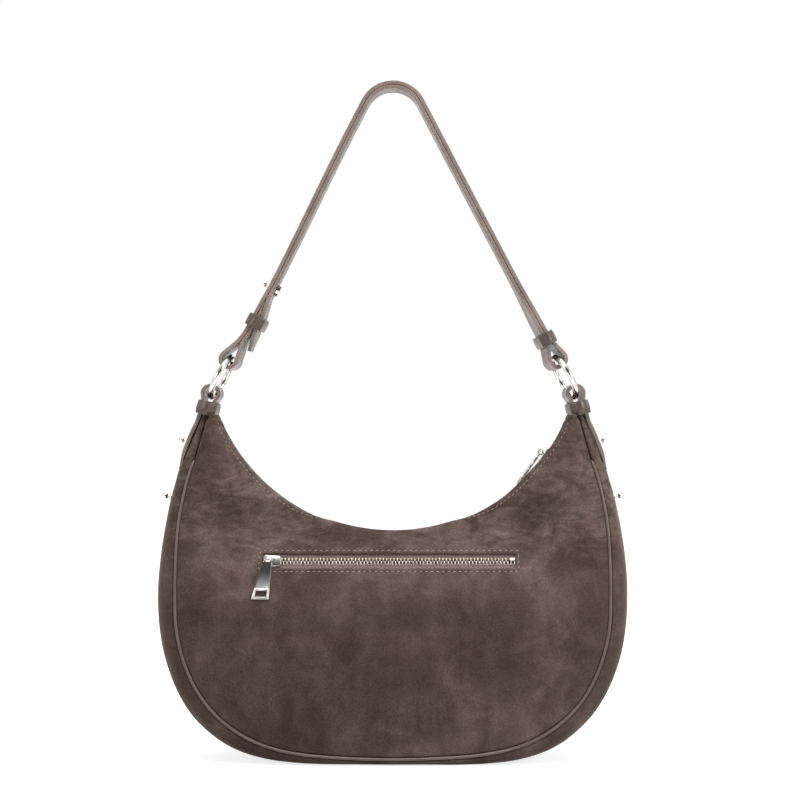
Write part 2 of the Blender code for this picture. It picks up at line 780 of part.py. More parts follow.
def build_pocket_zip():
    tape_length = POCKET_LENGTH + POUCH_SIDE
    half = POCKET_LENGTH / 2 - FIT_GAP
    for name, up in (("upper", 1), ("lower", -1)):
        centre = up * (CHAIN_OUTER + FIT_GAP + POCKET_TAPE_WIDTH / 2)
        place = POCKET_FRAME @ Matrix.Translation((0, centre, -POCKET_CHAIN_DEPTH))
        size = (tape_length, POCKET_TAPE_WIDTH, TAPE)
        flat_box(f"pocket_zip_{name}_tape", size, place, zip_tape(name + " tape"))
        centre = up * (CHAIN_INNER + CHAIN_WIDTH / 2)
        place = POCKET_FRAME @ Matrix.Translation((0, centre, -POCKET_CHAIN_DEPTH))
        length = 2 * half - (STOP_LENGTH + FIT_GAP) * (up > 0)
        place = place @ Matrix.Translation((length / 2 - half, 0, 0))
        size = (length, CHAIN_WIDTH, CHAIN_THICKNESS)
        flat_box(f"pocket_zip_{name}_teeth", size, place, nickel(name + " teeth"))
    centre = (half - STOP_LENGTH / 2, CHAIN_INNER + CHAIN_WIDTH / 2)
    place = POCKET_FRAME @ Matrix.Translation((*centre, -POCKET_CHAIN_DEPTH))
    size = (STOP_LENGTH, CHAIN_WIDTH, CHAIN_THICKNESS)
    flat_box("pocket_zip_stop", size, place, nickel("stop"))


SLIDER_TOP = CHAIN_THICKNESS / 2 + SLIDER_PLAY + SLIDER_PLATE
BAR_HEIGHT = SLIDER_TOP + BAIL_RISE + BAIL_BAR / 2
EYE_INNER = BAIL_BAR / math.sqrt(2) + EYE_PLAY
EYE_OUTER = EYE_INNER + EYE_WALL


def build_slider(name, frame, bail_turn, bail_shift):
    """Slider round the teeth: frame is X along the zip and Z outwards, from the teeth's middle."""
    half, web = SLIDER_WIDTH / 2, SLIDER_WEB / 2
    low = SLIDER_TOP - SLIDER_PLATE
    lip = low - SLIDER_LIP
    right = [(half, -SLIDER_TOP), (half, -lip), (web, -low), (web, low), (half, lip)]
    outline = right + [(half, SLIDER_TOP)] + [(-x, y) for x, y in [(half, SLIDER_TOP)] + right[::-1]]
    along = Matrix(((0, 0, 1), (1, 0, 0), (0, 1, 0))).to_4x4()
    body = as_mesh(extruded(name, [outline], SLIDER_LENGTH / 2, nickel(name), frame @ along))
    span, bar = BAIL_SPAN / 2, BAR_HEIGHT - BAIL_BAR / 2
    top, foot = BAR_HEIGHT + BAIL_BAR / 2, SLIDER_TOP - BAIL_SINK
    inner = span - BAIL_BAR
    bail = [(-span, foot), (-span, top), (span, top), (span, foot)]
    bail += [(inner, foot), (inner, bar), (-inner, bar), (-inner, foot)]
    upright = Matrix.Rotation(math.radians(90), 4, "X")
    shifted = frame @ Matrix.Translation((-bail_shift, 0, 0))
    place = shifted @ Matrix.Rotation(bail_turn, 4, "Z") @ upright
    arch = as_mesh(extruded(name + "_bail", [bail], BAIL_BAR / 2, nickel(name + " bail"), place))
    hide_helper(arch)
    joined(body, arch)
    return body


def hide_helper(item):
    BAG.objects.unlink(item)
    CUTTERS.objects.link(item)
    item.hide_render = True
    item.display_type = "WIRE"


def build_pull(name, frame, lean):
    """Pull tab: frame is X along the eye, Y away from the tab and Z out of its face."""
    top, end = PULL_TOP_WIDTH / 2, PULL_END_WIDTH / 2

    def leaning(x, y):
        return x + y * math.tan(lean), y

    def width(y):
        return lerp(top, end, (-y - PULL_NECK) / (PULL_LENGTH - PULL_NECK))

    plate = [(top, -PULL_NECK), (end, -PULL_LENGTH), (-end, -PULL_LENGTH), (-top, -PULL_NECK)]
    window_low = PULL_RIM - PULL_LENGTH
    window_high = window_low + PULL_WINDOW_LENGTH
    low, high = width(window_low) - PULL_RIM, width(window_high) - PULL_RIM
    window = [(low, window_low), (high, window_high), (-high, window_high), (-low, window_low)]
    outlines = [[leaning(*point) for point in plate], [leaning(*point) for point in window]]
    tab = as_mesh(extruded(name, outlines, PULL_THICKNESS / 2, nickel(name), frame))
    across = frame @ Matrix.Rotation(math.radians(90), 4, "Y")
    eye = make_cutter(name + "_eye", rod(EYE_OUTER, EYE_WIDTH, across))
    joined(tab, eye)
    cut(tab, make_cutter(name + "_bore", rod(EYE_INNER, EYE_WIDTH + CUT_OVERRUN, across)))
    return tab


def build_sliders():
    half = POCKET_LENGTH / 2
    rest = SLIDER_LENGTH / 2 + FIT_GAP - half
    frame = POCKET_FRAME @ Matrix.Translation((rest, 0, -POCKET_CHAIN_DEPTH))
    shifted = frame @ Matrix.Translation((-BAIL_SHIFT, 0, 0))
    slider = build_slider("pocket_slider", frame, 0, BAIL_SHIFT)
    eye = shifted @ Matrix.Translation((0, 0, BAR_HEIGHT))
    drop = BAR_HEIGHT - POCKET_CHAIN_DEPTH - PULL_THICKNESS / 2 - FIT_GAP
    rested = eye @ Matrix.Rotation(math.asin(drop / PULL_LENGTH), 4, "X")
    pull = build_pull("pocket_pull", rested, PULL_LEAN)
    pivot("pocket_slider_track", frame.translation, [slider])
    pivot("pocket_pull_hinge", eye.translation, [pull])

    angle = TOP_SLIDER_REST_SHARE * MOUTH_ANGLE
    along = Vector((math.cos(angle), 0, math.sin(angle)))
    frame = frame_matrix(spatial(mouth_point(angle, ZIP_CENTRE)), along, Vector((0, 1, 0)))
    slider = build_slider("top_slider", frame, math.radians(90), 0)
    eye = frame @ Matrix.Translation((0, 0, BAR_HEIGHT))
    turned_frame = eye @ Matrix.Rotation(math.radians(-90), 4, "Z")
    pull = build_pull("top_pull", turned_frame, 0)
    pivot("top_slider_track", Vector((0, 0, MOUTH_CENTRE_Z)), [slider])
    pivot("top_pull_hinge", eye.translation, [pull])


def pivot(name, place, items):
    """Hangs pieces on an empty that stands on their joint's axis."""
    empty = bpy.data.objects.new(name, None)
    empty.location = place
    BAG.objects.link(empty)
    inverse = Matrix.Translation(place).inverted()
    for item in items:
        item.parent = empty
        item.matrix_parent_inverse = inverse


def rounded_outline(half_x, half_y, corner, bulge=0):
    """Outline of a rounded rectangle whose faces square to X and Y swell by a bulge."""
    points = []
    for quarter, (sx, sy) in enumerate(((1, 1), (-1, 1), (-1, -1), (1, -1))):
        centre = (sx * (half_x - corner), sy * (half_y - corner))
        for step in range(CORNER_STEPS + 1):
            angle = math.pi / 2 * (quarter + step / CORNER_STEPS)
            points.append((centre[0] + corner * math.cos(angle), centre[1] + corner * math.sin(angle)))
        middle = ((0, sy), (sx, 0), (0, sy), (sx, 0))[quarter]
        points.append((middle[0] * (half_x + bulge), middle[1] * (half_y + bulge)))
    return points


def build_keeper(name, inner_x, inner_y, wall, half_length, matrix):
    """A leather band: X through the layers that it holds, Y along their width, Z along the strap."""
    outer = rounded_outline(inner_x + wall, inner_y + wall, KEEPER_CORNER, KEEPER_BULGE)
    hole = rounded_outline(inner_x, inner_y, KEEPER_CORNER / 2)
    return extruded(name, [outer, hole], half_length, leather(name + " leather"), matrix)


def gusset_place(u, outward):
    """Point off the gusset's middle line in the plane of the bag, and the outward direction."""
    step = NORMAL_STEP_SHARE
    ahead, behind = gusset_surface(min(u + step, 1), 0), gusset_surface(max(u - step, 0), 0)
    along = (ahead - behind).normalized()
    normal = Vector((along.z, 0, -along.x))
    place = gusset_surface(u, 0) + normal * outward
    return Vector((place.x, place.z)), normal


def on_side(side, u):
    return u if side < 0 else 1 - u


def tab_path(side):
    """The loop tab's middle line: up outside the gusset, over the ring's wire and down inside."""
    outside = TAB_GAP + LEATHER / 2
    inside = -SUEDE - TAB_INNER_GAP - LEATHER / 2
    arm = HORN_KEEPER_WIDTH / 2 - HORN_KEEPER_WALL - HORN_ARM_PLAY - LEATHER / 2
    hole = LOOP_HOLE_RADIUS + LEATHER / 2
    centre = HORN_KEEPER_HALF + RING_SEAT + LOOP_DROP
    shares = [index / (TAB_POINTS - 1) for index in range(TAB_POINTS)]
    points = []
    for share in shares:
        points.append(gusset_place(on_side(side, lerp(TAB_FOOT_SHARE, TAB_TOP_SHARE, share)), outside)[0])
    loop = arc_points((0, centre), hole, -ARC_STEP, math.pi + ARC_STEP)
    horn = [(arm, -HORN_KEEPER_HALF), (arm, HORN_KEEPER_HALF)] + [tuple(point) for point in loop]
    horn += [(-arm, HORN_KEEPER_HALF), (-arm, -HORN_KEEPER_HALF)]
    points += [horn_point(side, along, out) for out, along in horn]
    for share in shares:
        u = lerp(TAB_INNER_TOP_SHARE, TAB_INNER_FOOT_SHARE, share)
        points.append(gusset_place(on_side(side, u), inside)[0])
    return softened(points, BEND_SETBACK)


def horn_axis(side):
    return Vector((-side * math.sin(HORN_TILT), 0, math.cos(HORN_TILT)))


def horn_frame(side):
    origin = spatial(horn_point(side, 0, 0))
    outward = Vector((side * math.cos(HORN_TILT), 0, math.sin(HORN_TILT)))
    return frame_matrix(origin, outward, horn_axis(side).cross(outward))


def build_horn(side, name):
    origin, axis = spatial(horn_point(side, 0, 0)), horn_axis(side)
    turn = RING_TURNS[side] * HORN_TURN_SHARE

    path = tab_path(side)

    def place(index, point, y):
        offset = spatial(point) - origin
        below = -HORN_KEEPER_HALF - offset.dot(axis)
        if side * offset.x < 0 or index > len(path) / 2:
            y *= lerp(1, TAB_INNER_SHARE, smooth_share(below / HORN_TURN_FADE))
        return rolled(spatial(point, y), origin, axis, turn * smooth_share(1 - below / HORN_TURN_FADE))

    tab = strip(name + "_loop_tab", path, TAB_WIDTH / 2, leather(name + " tab"), place)
    inner_x = HORN_KEEPER_WIDTH / 2 - HORN_KEEPER_WALL
    inner_y = TAB_WIDTH / 2 + HORN_KEEPER_PLAY
    matrix = horn_frame(side) @ Matrix.Rotation(turn, 4, "Z")
    keeper = name + "_horn_keeper"
    build_keeper(keeper, inner_x, inner_y, HORN_KEEPER_WALL, HORN_KEEPER_HALF, matrix)
    return tab


def build_ring(side, name):
    foot = spatial(RING_FOOT)
    foot.x *= side
    frame = frame_matrix(foot, leg_direction(side), Vector((0, 1, 0)))
    frame = frame @ Matrix.Rotation(RING_TURNS[side], 4, "X")
    bpy.ops.mesh.primitive_torus_add(
        major_radius=RING_RADIUS,
        minor_radius=RING_WIRE,
        major_segments=RING_SEGMENTS,
        minor_segments=WIRE_SEGMENTS,
    )
    ring = bpy.context.object
    ring.name = name
    ring.data.transform(Matrix.Translation((RING_RADIUS, 0, 0)))
    ring.data.materials.append(nickel(name))
    ring.data.shade_smooth()
    for collection in ring.users_collection:
        collection.objects.unlink(ring)
    BAG.objects.link(ring)
    ring.matrix_world = frame
    return ring


def ball_profile(radius, centre):
    """Points round a ball from its top to where it meets the neck."""
    low = -math.acos(STUD_NECK / radius)
    angles = [lerp(math.pi / 2, low, step / BALL_STEPS) for step in range(BALL_STEPS + 1)]
    return [(max(radius * math.cos(a), 0), centre + radius * math.sin(a)) for a in angles]


def build_stud(name, seat, direction, neck, shank):
    """Ball stud that stands on a seat: ball, neck, collar and a shank through what it clamps."""
    base = FIT_GAP + STUD_COLLAR_THICKNESS
    ball = ball_profile(STUD_BALL, base + neck + STUD_BALL)
    ball[0] = (0, ball[0][1])
    profile = ball + [(STUD_NECK, base), (STUD_COLLAR, base), (STUD_COLLAR, FIT_GAP)]
    profile += [(STUD_SHANK, FIT_GAP), (STUD_SHANK, -shank), (0, -shank)]
    return turned(name, profile, nickel(name), facing_matrix(seat, direction))


def build_disc(name, seat, direction, radius, thickness):
    """The flat screw head on a stud's shank, on the far side of what the stud clamps."""
    profile = [(0, -FIT_GAP), (radius, -FIT_GAP), (radius, -FIT_GAP - thickness)]
    profile += [(0, -FIT_GAP - thickness)]
    return turned(name, profile, nickel(name), facing_matrix(seat, direction))


def shank_cutter(name, seat, direction, depth):
    middle = facing_matrix(seat - direction * depth / 2, direction)
    return make_cutter(name, rod(STUD_SHANK + SHANK_PLAY, depth + CUT_OVERRUN, middle))


def build_side_studs(side, name, gusset, gusset_lining, tab):
    thickness = LEATHER + TAB_GAP
    place, normal = gusset_place(on_side(side, UPPER_STUD_SHARE), thickness)
    seat, depth = spatial(place), thickness + SUEDE + TAB_INNER_GAP + LEATHER
    build_stud(name + "_tab_stud", seat, normal, STUD_NECK_LENGTH, depth)
    back = seat - normal * depth
    build_disc(name + "_tab_stud_screw", back, normal, STUD_DISC, STUD_DISC_THICKNESS)
    cutter = shank_cutter(name + "_tab_stud_hole", seat, normal, depth)
    cut(gusset, cutter)
    cut(tab, cutter)
    place, normal = gusset_place(on_side(side, LOWER_STUD_SHARE), 0)
    seat, depth = spatial(place), SUEDE + LINING_GAP + LINING + LOWER_SCREW_GAP
    build_stud(name + "_spare_stud", seat, normal, LOWER_STUD_NECK_LENGTH, depth)
    back = seat - normal * depth
    build_disc(name + "_spare_stud_screw", back, normal, STUD_DISC, STUD_DISC_THICKNESS)
    cutter = shank_cutter(name + "_spare_stud_hole", seat, normal, depth)
    cut(gusset, cutter)
    cut(gusset_lining, cutter)


def loop_round_ring():
    """The strap's middle line round a ring's top wire, from the inner run to the outer run."""
    radius = LOOP_HOLE_RADIUS + LEATHER / 2
    reach = math.hypot(LOOP_NECK + LOOP_DROP, RUN_OFFSET)
    touch = math.atan2(RUN_OFFSET, LOOP_NECK + LOOP_DROP) + math.acos(radius / reach)
    arc = arc_points((-LOOP_DROP, 0), radius, -touch, touch - 2 * math.pi)
    return [(LOOP_NECK, -RUN_OFFSET)] + [tuple(point) for point in arc] + [(LOOP_NECK, RUN_OFFSET)]


def leg_run(side, start, end, out):
    count = max(math.ceil(abs(end - start) / LEG_STEP), 1)
    return [leg_point(side, lerp(start, end, step / count), out) for step in range(1, count)]


def crown_run(start_side, out):
    """The arc over the crown, from the leg on start_side to the other leg."""
    first = math.pi / 2 - start_side * LEG_ANGLE
    last = math.pi / 2 + start_side * LEG_ANGLE
    return arc_points((0, CROWN_CENTRE_Z), CROWN_LINE_RADIUS + out, first, last)


def strap_path():
    """The strap's middle line, from the end sewn in at the left ring to the free tail."""
    loop = loop_round_ring()
    outer, inner = RUN_OFFSET, -RUN_OFFSET
    low = inner - LEATHER - RUN_GAP
    path = [leg_point(-1, FOLD_END, inner)]
    path += leg_run(-1, FOLD_END, LOOP_NECK, inner)
    path += [leg_point(-1, *point) for point in loop]
    path += leg_run(-1, LOOP_NECK, LEG_LENGTH, outer)
    path += crown_run(-1, outer)
    path += leg_run(1, LEG_LENGTH, LOOP_NECK, outer)
    path += [leg_point(1, *point) for point in reversed(loop)]
    path += leg_run(1, LOOP_NECK, LEG_LENGTH, inner)
    path += crown_run(1, inner)
    path += leg_run(-1, LEG_LENGTH, TAIL_MERGE, inner)
    path += [leg_point(-1, TAIL_MERGE, inner), leg_point(-1, FOLD_END + LEATHER, low)]
    path += [leg_point(-1, TAIL_PARTS, low), leg_point(-1, TAIL_END, low - TAIL_SPREAD)]
    return softened(path, BEND_SETBACK)


def build_strap():
    path = strap_path()
    tip = len(path) - 1

    def place(index, point, y):
        side = -1 if point[0] < 0 else 1
        y *= TAIL_TAPER_SHARE if index == tip else 1
        angle = leg_turn(side, along_leg(side, point))
        return rolled(spatial(point, y), spatial(leg_point(side, 0, 0)), leg_direction(side), angle)

    strap = strip("shoulder_strap", path, STRAP_WIDTH / 2, leather("strap"), place)
    outward = leg_outward(-1)
    seat = spatial(leg_point(-1, STRAP_STUD_PLACE, STRAP_HALF_STACK))
    depth = 2 * STRAP_HALF_STACK
    stud = build_stud("strap_stud", seat, outward, STUD_NECK_LENGTH, depth)
    back = seat - outward * depth
    disc = build_disc("strap_stud_screw", back, outward, STRAP_DISC, STRAP_DISC_THICKNESS)
    cut(strap, shank_cutter("strap_stud_hole", seat, outward, depth))
    pivot("strap_hinge", spatial(leg_point(-1, 0, 0)), [strap, stud, disc])


def leg_outward(side):
    return Vector((side * math.sin(LEG_ANGLE), 0, math.cos(LEG_ANGLE)))


def leg_frame(side, along, out):
    origin = spatial(leg_point(side, along, out))
    direction = leg_direction(side)
    frame = frame_matrix(origin, leg_outward(side), direction.cross(leg_outward(side)))
    turn = leg_turn(side, along) * (KEEPER_TURN_SHARE if side > 0 else 1)
    return frame @ Matrix.Rotation(turn, 4, "Z")


def build_strap_keepers():
    inner_y = STRAP_WIDTH / 2 + KEEPER_PLAY
    layer = LEATHER + RUN_GAP
    half = STRAP_KEEPER_LENGTH / 2
    for side, name, place, out, inner_x in (
        (-1, "left", LEFT_KEEPER_PLACE, -layer / 2, STRAP_HALF_STACK + layer / 2 + KEEPER_PLAY),
        (1, "right", RIGHT_KEEPER_PLACE, 0, STRAP_HALF_STACK + RIGHT_KEEPER_PLAY),
    ):
        frame = leg_frame(side, place, out)
        item = build_keeper(name + "_strap_keeper", inner_x, inner_y, STRAP_KEEPER_WALL, half, frame)
        pivot(name + "_keeper_track", frame.translation, [item])


def build_sides(gusset, gusset_lining):
    for side, name in ((-1, "left"), (1, "right")):
        tab = build_horn(side, name)
        build_side_studs(side, name, gusset, gusset_lining, tab)
        ring = build_ring(side, name + "_ring")
        pivot(name + "_ring_hinge", spatial((side * RING_FOOT[0], RING_FOOT[1])), [ring])


def build():
    build_panels()
    gusset = build_gusset()
    build_piping("back_piping", -1)
    build_piping("front_piping", 1)
    gusset_lining = build_linings()
    build_board()
    build_pouch()
    build_top_zip()
    build_pocket_zip()
    build_sliders()
    build_sides(gusset, gusset_lining)
    build_strap()
    build_strap_keepers()


build()
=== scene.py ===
"""Looks of a half-moon suede crossbody bag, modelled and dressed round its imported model.

Metres, +Z up. The back panel with the zipped pocket faces -Y, and the origin is the middle of the
base. Points in the plane of the bag are (x, z) pairs.
"""
import json
import logging
import math
from dataclasses import dataclass
from enum import Enum
from functools import lru_cache
from typing import Callable, Optional, Sequence

import bmesh
import bpy
from mathutils import Matrix, Vector, noise

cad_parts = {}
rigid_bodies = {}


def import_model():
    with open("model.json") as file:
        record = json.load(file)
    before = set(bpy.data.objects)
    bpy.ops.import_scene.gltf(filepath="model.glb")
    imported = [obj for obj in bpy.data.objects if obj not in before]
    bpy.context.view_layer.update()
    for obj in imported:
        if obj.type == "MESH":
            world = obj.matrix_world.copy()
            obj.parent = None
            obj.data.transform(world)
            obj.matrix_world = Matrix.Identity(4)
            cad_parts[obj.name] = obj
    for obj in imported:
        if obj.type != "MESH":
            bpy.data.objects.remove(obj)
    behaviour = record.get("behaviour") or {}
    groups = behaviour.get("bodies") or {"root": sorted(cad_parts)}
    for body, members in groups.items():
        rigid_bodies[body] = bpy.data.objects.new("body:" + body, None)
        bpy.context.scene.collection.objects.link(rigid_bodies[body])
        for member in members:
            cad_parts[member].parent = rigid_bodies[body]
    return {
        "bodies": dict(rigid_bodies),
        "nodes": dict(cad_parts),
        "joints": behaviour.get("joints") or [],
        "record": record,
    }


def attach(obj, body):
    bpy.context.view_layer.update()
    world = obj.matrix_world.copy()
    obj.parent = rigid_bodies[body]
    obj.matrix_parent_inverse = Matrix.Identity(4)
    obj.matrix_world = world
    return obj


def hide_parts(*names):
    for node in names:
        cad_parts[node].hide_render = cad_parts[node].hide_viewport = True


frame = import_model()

LOG = logging.getLogger("crossbody_bag")
MERGE = 0.00001
QUARTER = math.pi / 2
WHITE = (1, 1, 1, 1)
ROUNDING_FACES = 3
SHARP_ANGLE = math.radians(40)

Place = Callable[[float, float], Vector]
StripPlace = Callable[[int, Vector, float], Vector]
Colour = tuple[float, float, float, float]
Line = list[tuple[Vector, Vector]]
Mesh = bmesh.types.BMesh
Vert = bmesh.types.BMVert
Edge = bmesh.types.BMEdge
Item = bpy.types.Object
Socket = bpy.types.NodeSocket


class Named(Enum):
    """A choice that the nodes are named after."""

    @property
    def word(self) -> str:
        """The choice's name as the nodes give it."""
        return self.name.lower()


class Side(Named):
    """One end of the bag, by the sign of its X."""

    LEFT = -1
    RIGHT = 1

    def share(self, u: float) -> float:
        """Share of the girth at a share counted from this side's horn."""
        return u if self is Side.LEFT else 1 - u


class Face(Named):
    """One face of the bag, by the sign of its Y."""

    BACK = -1
    FRONT = 1


class Body(Enum):
    """The bodies that the pieces move with."""

    BAG = "bag"
    STRAP = "strap_body"
    LEFT_RING = "left_ring_body"
    RIGHT_RING = "right_ring_body"
    LEFT_KEEPER = "left_keeper_body"
    RIGHT_KEEPER = "right_keeper_body"
    POCKET_SLIDER = "pocket_slider_body"
    POCKET_PULL = "pocket_pull_body"
    TOP_SLIDER = "top_slider_body"
    TOP_PULL = "top_pull_body"


def linear(code: str) -> Colour:
    """Linear colour of a six-digit sRGB code.

    Args:
        code: The colour's six hexadecimal digits.

    Returns:
        Red, green, blue and alpha for a colour socket.
    """
    parts = [int(code[index : index + 2], 16) / 255 for index in (0, 2, 4)]
    red, green, blue = (p / 12.92 if p <= 0.04045 else ((p + 0.055) / 1.055) ** 2.4 for p in parts)
    return red, green, blue, 1.0


def lerp(first: float, second: float, share: float) -> float:
    """Value at a share of the way from the first to the second."""
    return first + (second - first) * share


def smooth_share(value: float) -> float:
    """Value clamped to 0 and 1, with soft ends."""
    value = min(max(value, 0.0), 1.0)
    return value * value * (3 - 2 * value)


def hump(distance: float, width: float) -> float:
    """A bell of height 1 that falls off over a width."""
    return math.exp(-((distance / width) ** 2))


def roll(distance: float, radius: float) -> float:
    """How far an edge that rolls under has dropped, at a distance from where it stands upright.

    Args:
        distance: Distance in from the edge.
        radius: Radius of the rolled edge.

    Returns:
        The drop, which is the radius at the edge itself and zero past the radius.
    """
    if distance >= radius:
        return 0.0
    reach = 1 - max(distance, 0.0) / radius
    return radius * (1 - math.sqrt(max(1 - reach * reach, 0.0)))


def nearer_end(u: float) -> float:
    """The end of the girth, 0 or 1, that a share lies nearer to."""
    return 0.0 if u < 0.5 else 1.0


def catmull_rom(rows: Sequence[Sequence[float]], place: float) -> tuple[float, ...]:
    """Value of a smooth curve through rows of numbers.

    Args:
        rows: The rows that the curve passes through.
        place: Place along the rows, from 0 to 1.

    Returns:
        One interpolated row.
    """
    last = len(rows) - 1
    index = min(int(place * last), last - 1)
    part = place * last - index
    before, after = rows[max(index - 1, 0)], rows[min(index + 2, last)]
    here, there = rows[index], rows[index + 1]
    return tuple(
        b + (c - a + (2 * a - 5 * b + 4 * c - d + (3 * b - a - 3 * c + d) * part) * part) * part / 2
        for a, b, c, d in zip(before, here, there, after)
    )


def spatial(point: Sequence[float], y: float = 0.0) -> Vector:
    """A point in the plane of the bag as a point in space."""
    return Vector((point[0], y, point[1]))


def frame_matrix(origin: Vector, x_axis: Vector, y_axis: Vector) -> Matrix:
    """Matrix of a right-handed frame.

    Args:
        origin: Where the frame stands.
        x_axis: Direction of its X.
        y_axis: Direction near its Y.

    Returns:
        The frame's matrix.
    """
    x_axis = x_axis.normalized()
    z_axis = x_axis.cross(y_axis).normalized()
    matrix = Matrix((x_axis, z_axis.cross(x_axis), z_axis)).transposed().to_4x4()
    matrix.translation = origin
    return matrix


def facing_matrix(origin: Vector, direction: Vector) -> Matrix:
    """Matrix whose Z points along a direction, with X kept level."""
    direction = direction.normalized()
    level = Vector((0, 1, 0)).cross(direction)
    return frame_matrix(origin, level, direction.cross(level))


def rolled(point: Vector, origin: Vector, axis: Vector, angle: float) -> Vector:
    """A point turned by an angle about an axis through an origin."""
    return Matrix.Rotation(angle, 3, axis) @ (point - origin) + origin


def arc_points(centre: Sequence[float], radius: float, start: float, end: float, steps: int) -> list[Vector]:
    """Points on an arc in a plane, in even steps from its first angle to its last."""
    angles = [lerp(start, end, step / steps) for step in range(steps + 1)]
    return [Vector((centre[0] + radius * math.cos(a), centre[1] + radius * math.sin(a))) for a in angles]


# Finishes


class NodeSketch:
    """A node tree while it is being drawn: adds nodes and joins them."""

    def __init__(self, tree: bpy.types.NodeTree) -> None:
        """Starts on a tree."""
        self.tree = tree

    def feed(self, socket: Socket, value: object) -> None:
        """Joins a socket to an output, or sets its constant."""
        if isinstance(value, Socket):
            self.tree.links.new(value, socket)
        else:
            socket.default_value = value

    def add(self, kind: str, inputs: Optional[dict] = None, **settings: object) -> bpy.types.Node:
        """Adds a node.

        Args:
            kind: The node's type.
            inputs: Constants or outputs for its sockets, by name or number.
            settings: The node's own properties.

        Returns:
            The new node.
        """
        node = self.tree.nodes.new(kind)
        for key, value in settings.items():
            setattr(node, key, value)
        for key, value in (inputs or {}).items():
            self.feed(node.inputs[key], value)
        return node

    def math(self, operation: str, first: object, second: object = 0.0) -> Socket:
        """One arithmetic step on two values."""
        return self.add("ShaderNodeMath", {0: first, 1: second}, operation=operation).outputs[0]

    def spread(self, value: Socket, low: float, high: float, start: float = 0.0, end: float = 1.0) -> Socket:
        """A value between low and high mapped smoothly to start and end."""
        inputs = {"Value": value, "From Min": low, "From Max": high, "To Min": start, "To Max": end}
        return self.add("ShaderNodeMapRange", inputs, interpolation_type="SMOOTHSTEP").outputs["Result"]


class ShaderSketch(NodeSketch):
    """A material while it is being drawn."""

    def __init__(self, name: str) -> None:
        """Starts a material with one principled shader."""
        self.material = bpy.data.materials.new(name)
        self.material.use_nodes = True
        super().__init__(self.material.node_tree)
        self.shader = self.tree.nodes["Principled BSDF"]
        coordinates = self.add("ShaderNodeTexCoord")
        self.place = coordinates.outputs["Object"]
        self.surface_place = coordinates.outputs["UV"]

    def dress(self, **inputs: object) -> None:
        """Sets the shader's sockets, with underscores for the spaces in their names."""
        for key, value in inputs.items():
            self.feed(self.shader.inputs[key.replace("_", " ")], value)

    def stretched(self, place: Socket, scale: Sequence[float], turn: float = 0.0) -> Socket:
        """Coordinates scaled along each axis and turned about Y."""
        inputs = {"Vector": place, "Scale": tuple(scale), "Rotation": (0, turn, 0)}
        return self.add("ShaderNodeMapping", inputs).outputs["Vector"]

    def noise(
        self, scale: float, detail: float = 2.0, distortion: float = 0.0, place: Optional[Socket] = None
    ) -> Socket:
        """A noise pattern, on the object's own coordinates where none are given."""
        inputs = {"Vector": place or self.place, "Scale": scale, "Detail": detail, "Distortion": distortion}
        return self.add("ShaderNodeTexNoise", inputs).outputs["Fac"]

    def ramp(self, value: Socket, stops: Sequence[tuple[float, str]]) -> Socket:
        """A colour by value.

        Args:
            value: The value.
            stops: Places and their sRGB codes, in order.

        Returns:
            The colour.
        """
        node = self.add("ShaderNodeValToRGB", {"Fac": value})
        elements = node.color_ramp.elements
        while len(elements) < len(stops):
            elements.new(0.5)
        for element, (place, code) in zip(elements, stops):
            element.position = place
            element.color = linear(code)
        return node.outputs["Color"]

    def tones(self, value: Socket, shade: str, tint: str, low: float = 0.3, high: float = 0.7) -> Socket:
        """A shade that turns into a tint between two values."""
        return self.ramp(value, [(low, shade), (high, tint)])

    def product(self, first: Socket, second: Socket) -> Socket:
        """Two colours multiplied."""
        inputs = {0: 1.0, 6: first, 7: second}
        return self.add("ShaderNodeMix", inputs, data_type="RGBA", blend_type="MULTIPLY").outputs[2]

    def bump(
        self, height: Socket, strength: float, distance: float, below: Optional[Socket] = None
    ) -> Socket:
        """Relief from a height.

        Args:
            height: The height.
            strength: Strength from 0 to 1.
            distance: Height of the relief in metres.
            below: A normal that the relief stands on.

        Returns:
            The normal.
        """
        inputs = {"Height": height, "Strength": strength, "Distance": distance}
        if below is not None:
            inputs["Normal"] = below
        return self.add("ShaderNodeBump", inputs).outputs["Normal"]


@dataclass(frozen=True)
class Finish:
    """A surface finish that makes its material once."""

    name: str

    def material(self) -> bpy.types.Material:
        """The finish's material, made on first use."""
        found = bpy.data.materials.get(self.name)
        if found is None:
            sketch = ShaderSketch(self.name)
            self.draw(sketch)
            found = sketch.material
        return found

    def draw(self, sketch: ShaderSketch) -> None:
        """Draws the finish's nodes."""
        raise NotImplementedError(self.name)


